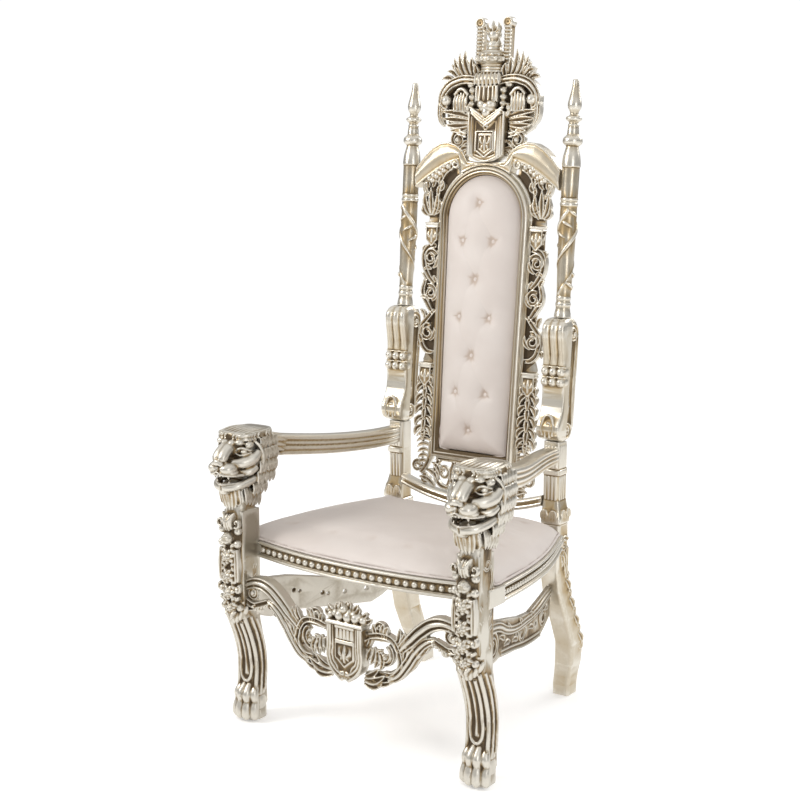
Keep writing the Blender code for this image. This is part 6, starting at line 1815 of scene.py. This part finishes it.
def seat_outline():
    half = [(0.3235 * i / 8, front_edge(0.3235 * i / 8) + 0.0115) for i in range(9)]
    half += [(side_edge(0.064 + 0.488 * i / 16) - 0.012, 0.064 + 0.488 * i / 16) for i in range(17)]
    half.append((0.12, 0.552))
    return half + [(-x, y) for x, y in reversed(half) if x > 0]


def seat_pad():
    """Domed satin seat with a piped edge along the rails."""
    outline = seat_outline()
    middle_y = 0.3
    sections = []
    for inset, z in ((0.0, 0.5002), (0.0, 0.508), (0.01, 0.517), (0.04, 0.527), (0.09, 0.537),
                     (0.16, 0.544),
                     (0.3, 0.55), (0.5, 0.553), (0.74, 0.554), (0.97, 0.554)):
        sections.append([(x * (1 - inset), middle_y + (y - middle_y) * (1 - inset), z) for x, y in outline])

    def held(spot):
        return 1.0 if spot.z < 0.5075 else 0.0

    pad = modified(swollen(loft(sections), held, 0.0055, 0.0095), "SUBSURF", levels=1, render_levels=1)
    piping = strands([[(x, y, 0.5033, 0.0032) for x, y in outline + outline[:1]]], smooth=2)
    piece = place("seat_pad", joined([pad, piping]), ["seat_cushion"], SATIN, SEAT, slot="upholstery",
                  sharp=0)


def button_places():
    places = []
    for row in range(7):
        z = FRAME_SPRING + 0.0435 - row * (FRAME_SPRING + 0.0435 - FRAME_FOOT - 0.089) / 6
        places += [(0.0, z)] if row % 2 == 0 else [(-0.048, z), (0.048, z)]
    return places


BUTTONS = button_places()
FOLDS = [(a, b) for i, a in enumerate(BUTTONS) for b in BUTTONS[i + 1:]
         if abs(a[0] - b[0]) in (0.048,) and 0.05 < abs(a[1] - b[1]) < 0.13]


def pad_half(z):
    """Half width of the back pad at a height, and how far round the arch that is."""
    if z <= FRAME_SPRING:
        share = (z - FRAME_FOOT) / (FRAME_SPRING - FRAME_FOOT)
        return FRAME_HALF_FOOT + (FRAME_HALF_TOP - FRAME_HALF_FOOT) * share - FRAME_WIDTH - 0.0006
    rise = FRAME_RISE - FRAME_WIDTH - 0.0006
    inside = max(0.0, 1 - ((z - FRAME_SPRING) / rise) ** 2)
    return (FRAME_HALF_TOP - FRAME_WIDTH - 0.0006) * math.sqrt(inside)


def quilt(x, z):
    """Depth of the pad's front: a dome that sinks at each button."""
    if z > FRAME_SPRING:
        scale = (FRAME_RISE - FRAME_WIDTH) / (FRAME_HALF_TOP - FRAME_WIDTH)
        gap = FRAME_HALF_TOP - FRAME_WIDTH - math.hypot(x, (z - FRAME_SPRING) / scale)
    else:
        gap = min(pad_half(z) - abs(x), z - FRAME_FOOT - FRAME_WIDTH)
    edge = max(0.0, gap)
    dome = -0.004 - 0.052 * (1 - math.exp(-edge / 0.03))
    sink = max(0.0215 * math.exp(-(math.hypot(x - bx, z - bz) / 0.019) ** 1.1) for bx, bz in BUTTONS)
    return dome + sink


def crease(x, z):
    """Depth of the narrow folds between neighbouring buttons and out to the sides."""
    deepest = np.zeros(len(x))
    for (ax, az), (bx, bz) in FOLDS:
        dx, dz = bx - ax, bz - az
        share = ((x - ax) * dx + (z - az) * dz) / (dx * dx + dz * dz)
        away = np.abs(((x - ax) * dz - (z - az) * dx) / math.hypot(dx,
                                                                   dz) - 0.0035 * np.sin(2 * math.pi * share))
        depth = 0.0019 * (0.35 + 0.65 * np.abs(2 * share - 1)) * np.exp(-(away / 0.0048) ** 1.3)
        deepest = np.maximum(deepest, np.where((share > 0) & (share < 1), depth, 0.0))
    for bx, bz in BUTTONS:
        reach = np.hypot(x - bx, z - bz)
        pucker = np.maximum(0.0, np.cos(3 * np.arctan2(z - bz, x - bx) + 9 * bz)) ** 5
        depth = 0.0026 * (1 - (reach - 0.006) / 0.026) * pucker
        deepest = np.maximum(deepest, np.where((reach > 0.006) & (reach < 0.032), depth, 0.0))
    return deepest


def back_pad():
    """Buttoned satin back, and its ten buttons."""
    foot = FRAME_FOOT + FRAME_WIDTH + 0.0006
    tall = FRAME_SPRING - foot
    heights = [foot + tall * i / 120 for i in range(121)]
    top = FRAME_RISE - FRAME_WIDTH - 0.0006
    heights += [FRAME_SPRING + top * math.sin(math.pi / 2 * i / 26) for i in range(1, 26)]
    columns = 44
    bm = bmesh.new()
    grid = []
    for z in heights:
        half = pad_half(z)
        grid.append([bm.verts.new((half * (2 * k / columns - 1), 0.0, z)) for k in range(columns + 1)])
    for row in grid:
        for vertex in row:
            vertex.co.y = quilt(vertex.co.x, vertex.co.z)
    for low, high in zip(grid, grid[1:]):
        for k in range(columns):
            bm.faces.new((low[k], low[k + 1], high[k + 1], high[k]))
    rim = [edge for edge in bm.edges if edge.is_boundary]
    pushed = bmesh.ops.extrude_edge_only(bm, edges=rim)["geom"]
    behind = [item for item in pushed if isinstance(item, bmesh.types.BMVert)]
    for vertex in behind:
        vertex.co.y = 0.0114
    bmesh.ops.contextual_create(bm, geom=[edge for edge in bm.edges if edge.is_boundary])
    bmesh.ops.recalc_face_normals(bm, faces=bm.faces)

    def held(spot):
        if spot.y > -0.006:
            return 1.0
        near = min(math.hypot(spot.x - bx, spot.z - bz) for bx, bz in BUTTONS)
        return 1.0 if near < 0.0085 else 0.0

    pad = modified(swollen(from_bmesh(bm), held, 0.006, 0.006), "SUBSURF", levels=1, render_levels=1)
    spots = np.empty(len(pad.vertices) * 3, np.float32)
    pad.vertices.foreach_get("co", spots)
    facing = np.empty(len(pad.vertices) * 3, np.float32)
    pad.vertex_normals.foreach_get("vector", facing)
    spots, facing = spots.reshape(-1, 3), facing.reshape(-1, 3)
    spots[:, 1] += np.where(facing[:, 1] < -0.3, crease(spots[:, 0].astype(float),
                                                        spots[:, 2].astype(float)), 0.0)
    pad.vertices.foreach_set("co", spots.ravel())
    edge = [(x, z) for x, z in arch(FRAME_WIDTH + 0.0045, 40)]
    path = [[(x, -0.0065, z, 0.003) for x, z in edge + edge[:1]]]
    piece = place("buttoned_back_pad", joined([pad, strands(path, smooth=2)]), ["back_cushion"], SATIN,
                  BACK, slot="upholstery",
                  sharp=0)
    buttons = []
    for x, z in BUTTONS:
        knob = lathe([(0.0, 0.0045), (0.004, 0.004), (0.0072, 0.0022), (0.009, -0.0006), (0.0088, -0.003),
                      (0.0, -0.0034)],
                     (0.0, 0.0), 20)
        knob.transform(Matrix.Translation((x, quilt(x, z) - 0.002, z)) @ Matrix.Rotation(math.pi / 2, 4,
                                                                                         "X"))
        buttons.append(knob)
    place("covered_buttons", joined(buttons), [f"button_{i:02d}" for i in range(1, 11)], SATIN, BACK,
          slot="upholstery", sharp=0)


def back_cover():
    """Cloth panel behind the back, with a raised border."""
    outline = arch(FRAME_WIDTH + 0.0004, 48)
    panel = slab(outline, 0.0121, 0.019)
    edge = arch(FRAME_WIDTH + 0.004, 40)
    path = [[(x, 0.0182, z, 0.0017) for x, z in edge + edge[:1]]]
    place("rear_cloth_panel", joined([panel, strands(path, smooth=2)]), ["back_panel"], SATIN, BACK,
          slot="upholstery", sharp=30.0)


BUILDERS = (front_legs, crest, top_rail, back_moulding, fretwork, lower_band, console, post, seat_rails,
            back_leg,
            arms, front_apron, side_aprons, plain_boards, seat_pad, back_pad, back_cover)


# Stage, lights and camera

def stage():
    bm = bmesh.new()
    bmesh.ops.create_grid(bm, x_segments=1, y_segments=1, size=14.0)
    floor = bpy.data.objects.new("floor", from_bmesh(bm))
    floor.data.materials.append(FLOOR)
    bpy.context.scene.collection.objects.link(floor)


def area_light(name, position, aim, size, power, tint=(1.0, 1.0, 1.0)):
    data = bpy.data.lights.new(name, "AREA")
    data.shape = "RECTANGLE"
    data.size, data.size_y = size
    data.energy = power
    data.color = tint
    lamp = bpy.data.objects.new(name, data)
    lamp.location = position
    lamp.rotation_euler = (Vector(aim) - Vector(position)).to_track_quat("-Z", "Y").to_euler()
    bpy.context.scene.collection.objects.link(lamp)


def lights():
    """Three soft lamps in a pale studio that is dimmer round the sides, with white behind the chair."""
    world = bpy.data.worlds.new("studio")
    bpy.context.scene.world = world
    world.use_nodes = True
    tree = world.node_tree
    tree.nodes.clear()
    Value.tree = tree
    direction = Value.node("ShaderNodeTexCoord", output=0)
    height = Value.node("ShaderNodeSeparateXYZ", {}, {"Vector": direction}, output=2)
    seen = Value.node("ShaderNodeLightPath", output=0)
    glow = height.between(-0.15, 0.9) * 0.8 + 0.17
    strength = seen * 1.05 + (1 - seen) * glow
    backdrop = Value.node("ShaderNodeBackground", {}, {"Color": (1.0, 1.0, 1.0, 1.0), "Strength": strength})
    surface = tree.nodes.new("ShaderNodeOutputWorld")
    tree.links.new(backdrop.socket, surface.inputs["Surface"])
    area_light("key", (-2.4, -2.6, 3.0), (0.0, 0.0, 0.9), (1.2, 1.6), 66.0, (1.0, 0.98, 0.95))
    area_light("fill", (3.2, -2.2, 1.8), (0.0, 0.0, 0.9), (0.8, 2.2), 26.0, (0.97, 0.98, 1.0))
    area_light("rim", (1.2, 3.0, 2.8), (0.0, 0.0, 1.0), (2.0, 1.2), 30.0)
    bpy.context.scene.view_settings.view_transform = "Standard"


def camera():
    data = bpy.data.cameras.new("photo_view")
    data.lens = 66.2
    data.sensor_width = 36.0
    view = bpy.data.objects.new("photo_view", data)
    view.location = (2.13622438, -3.14536451, 1.55525962)
    aim = Vector((0.0, -0.09457026, 0.88584787)) - view.location
    view.rotation_euler = aim.to_track_quat("-Z", "Y").to_euler()
    bpy.context.scene.collection.objects.link(view)
    bpy.context.scene.camera = view


for make in BUILDERS:
    make()
stage()
lights()
camera()
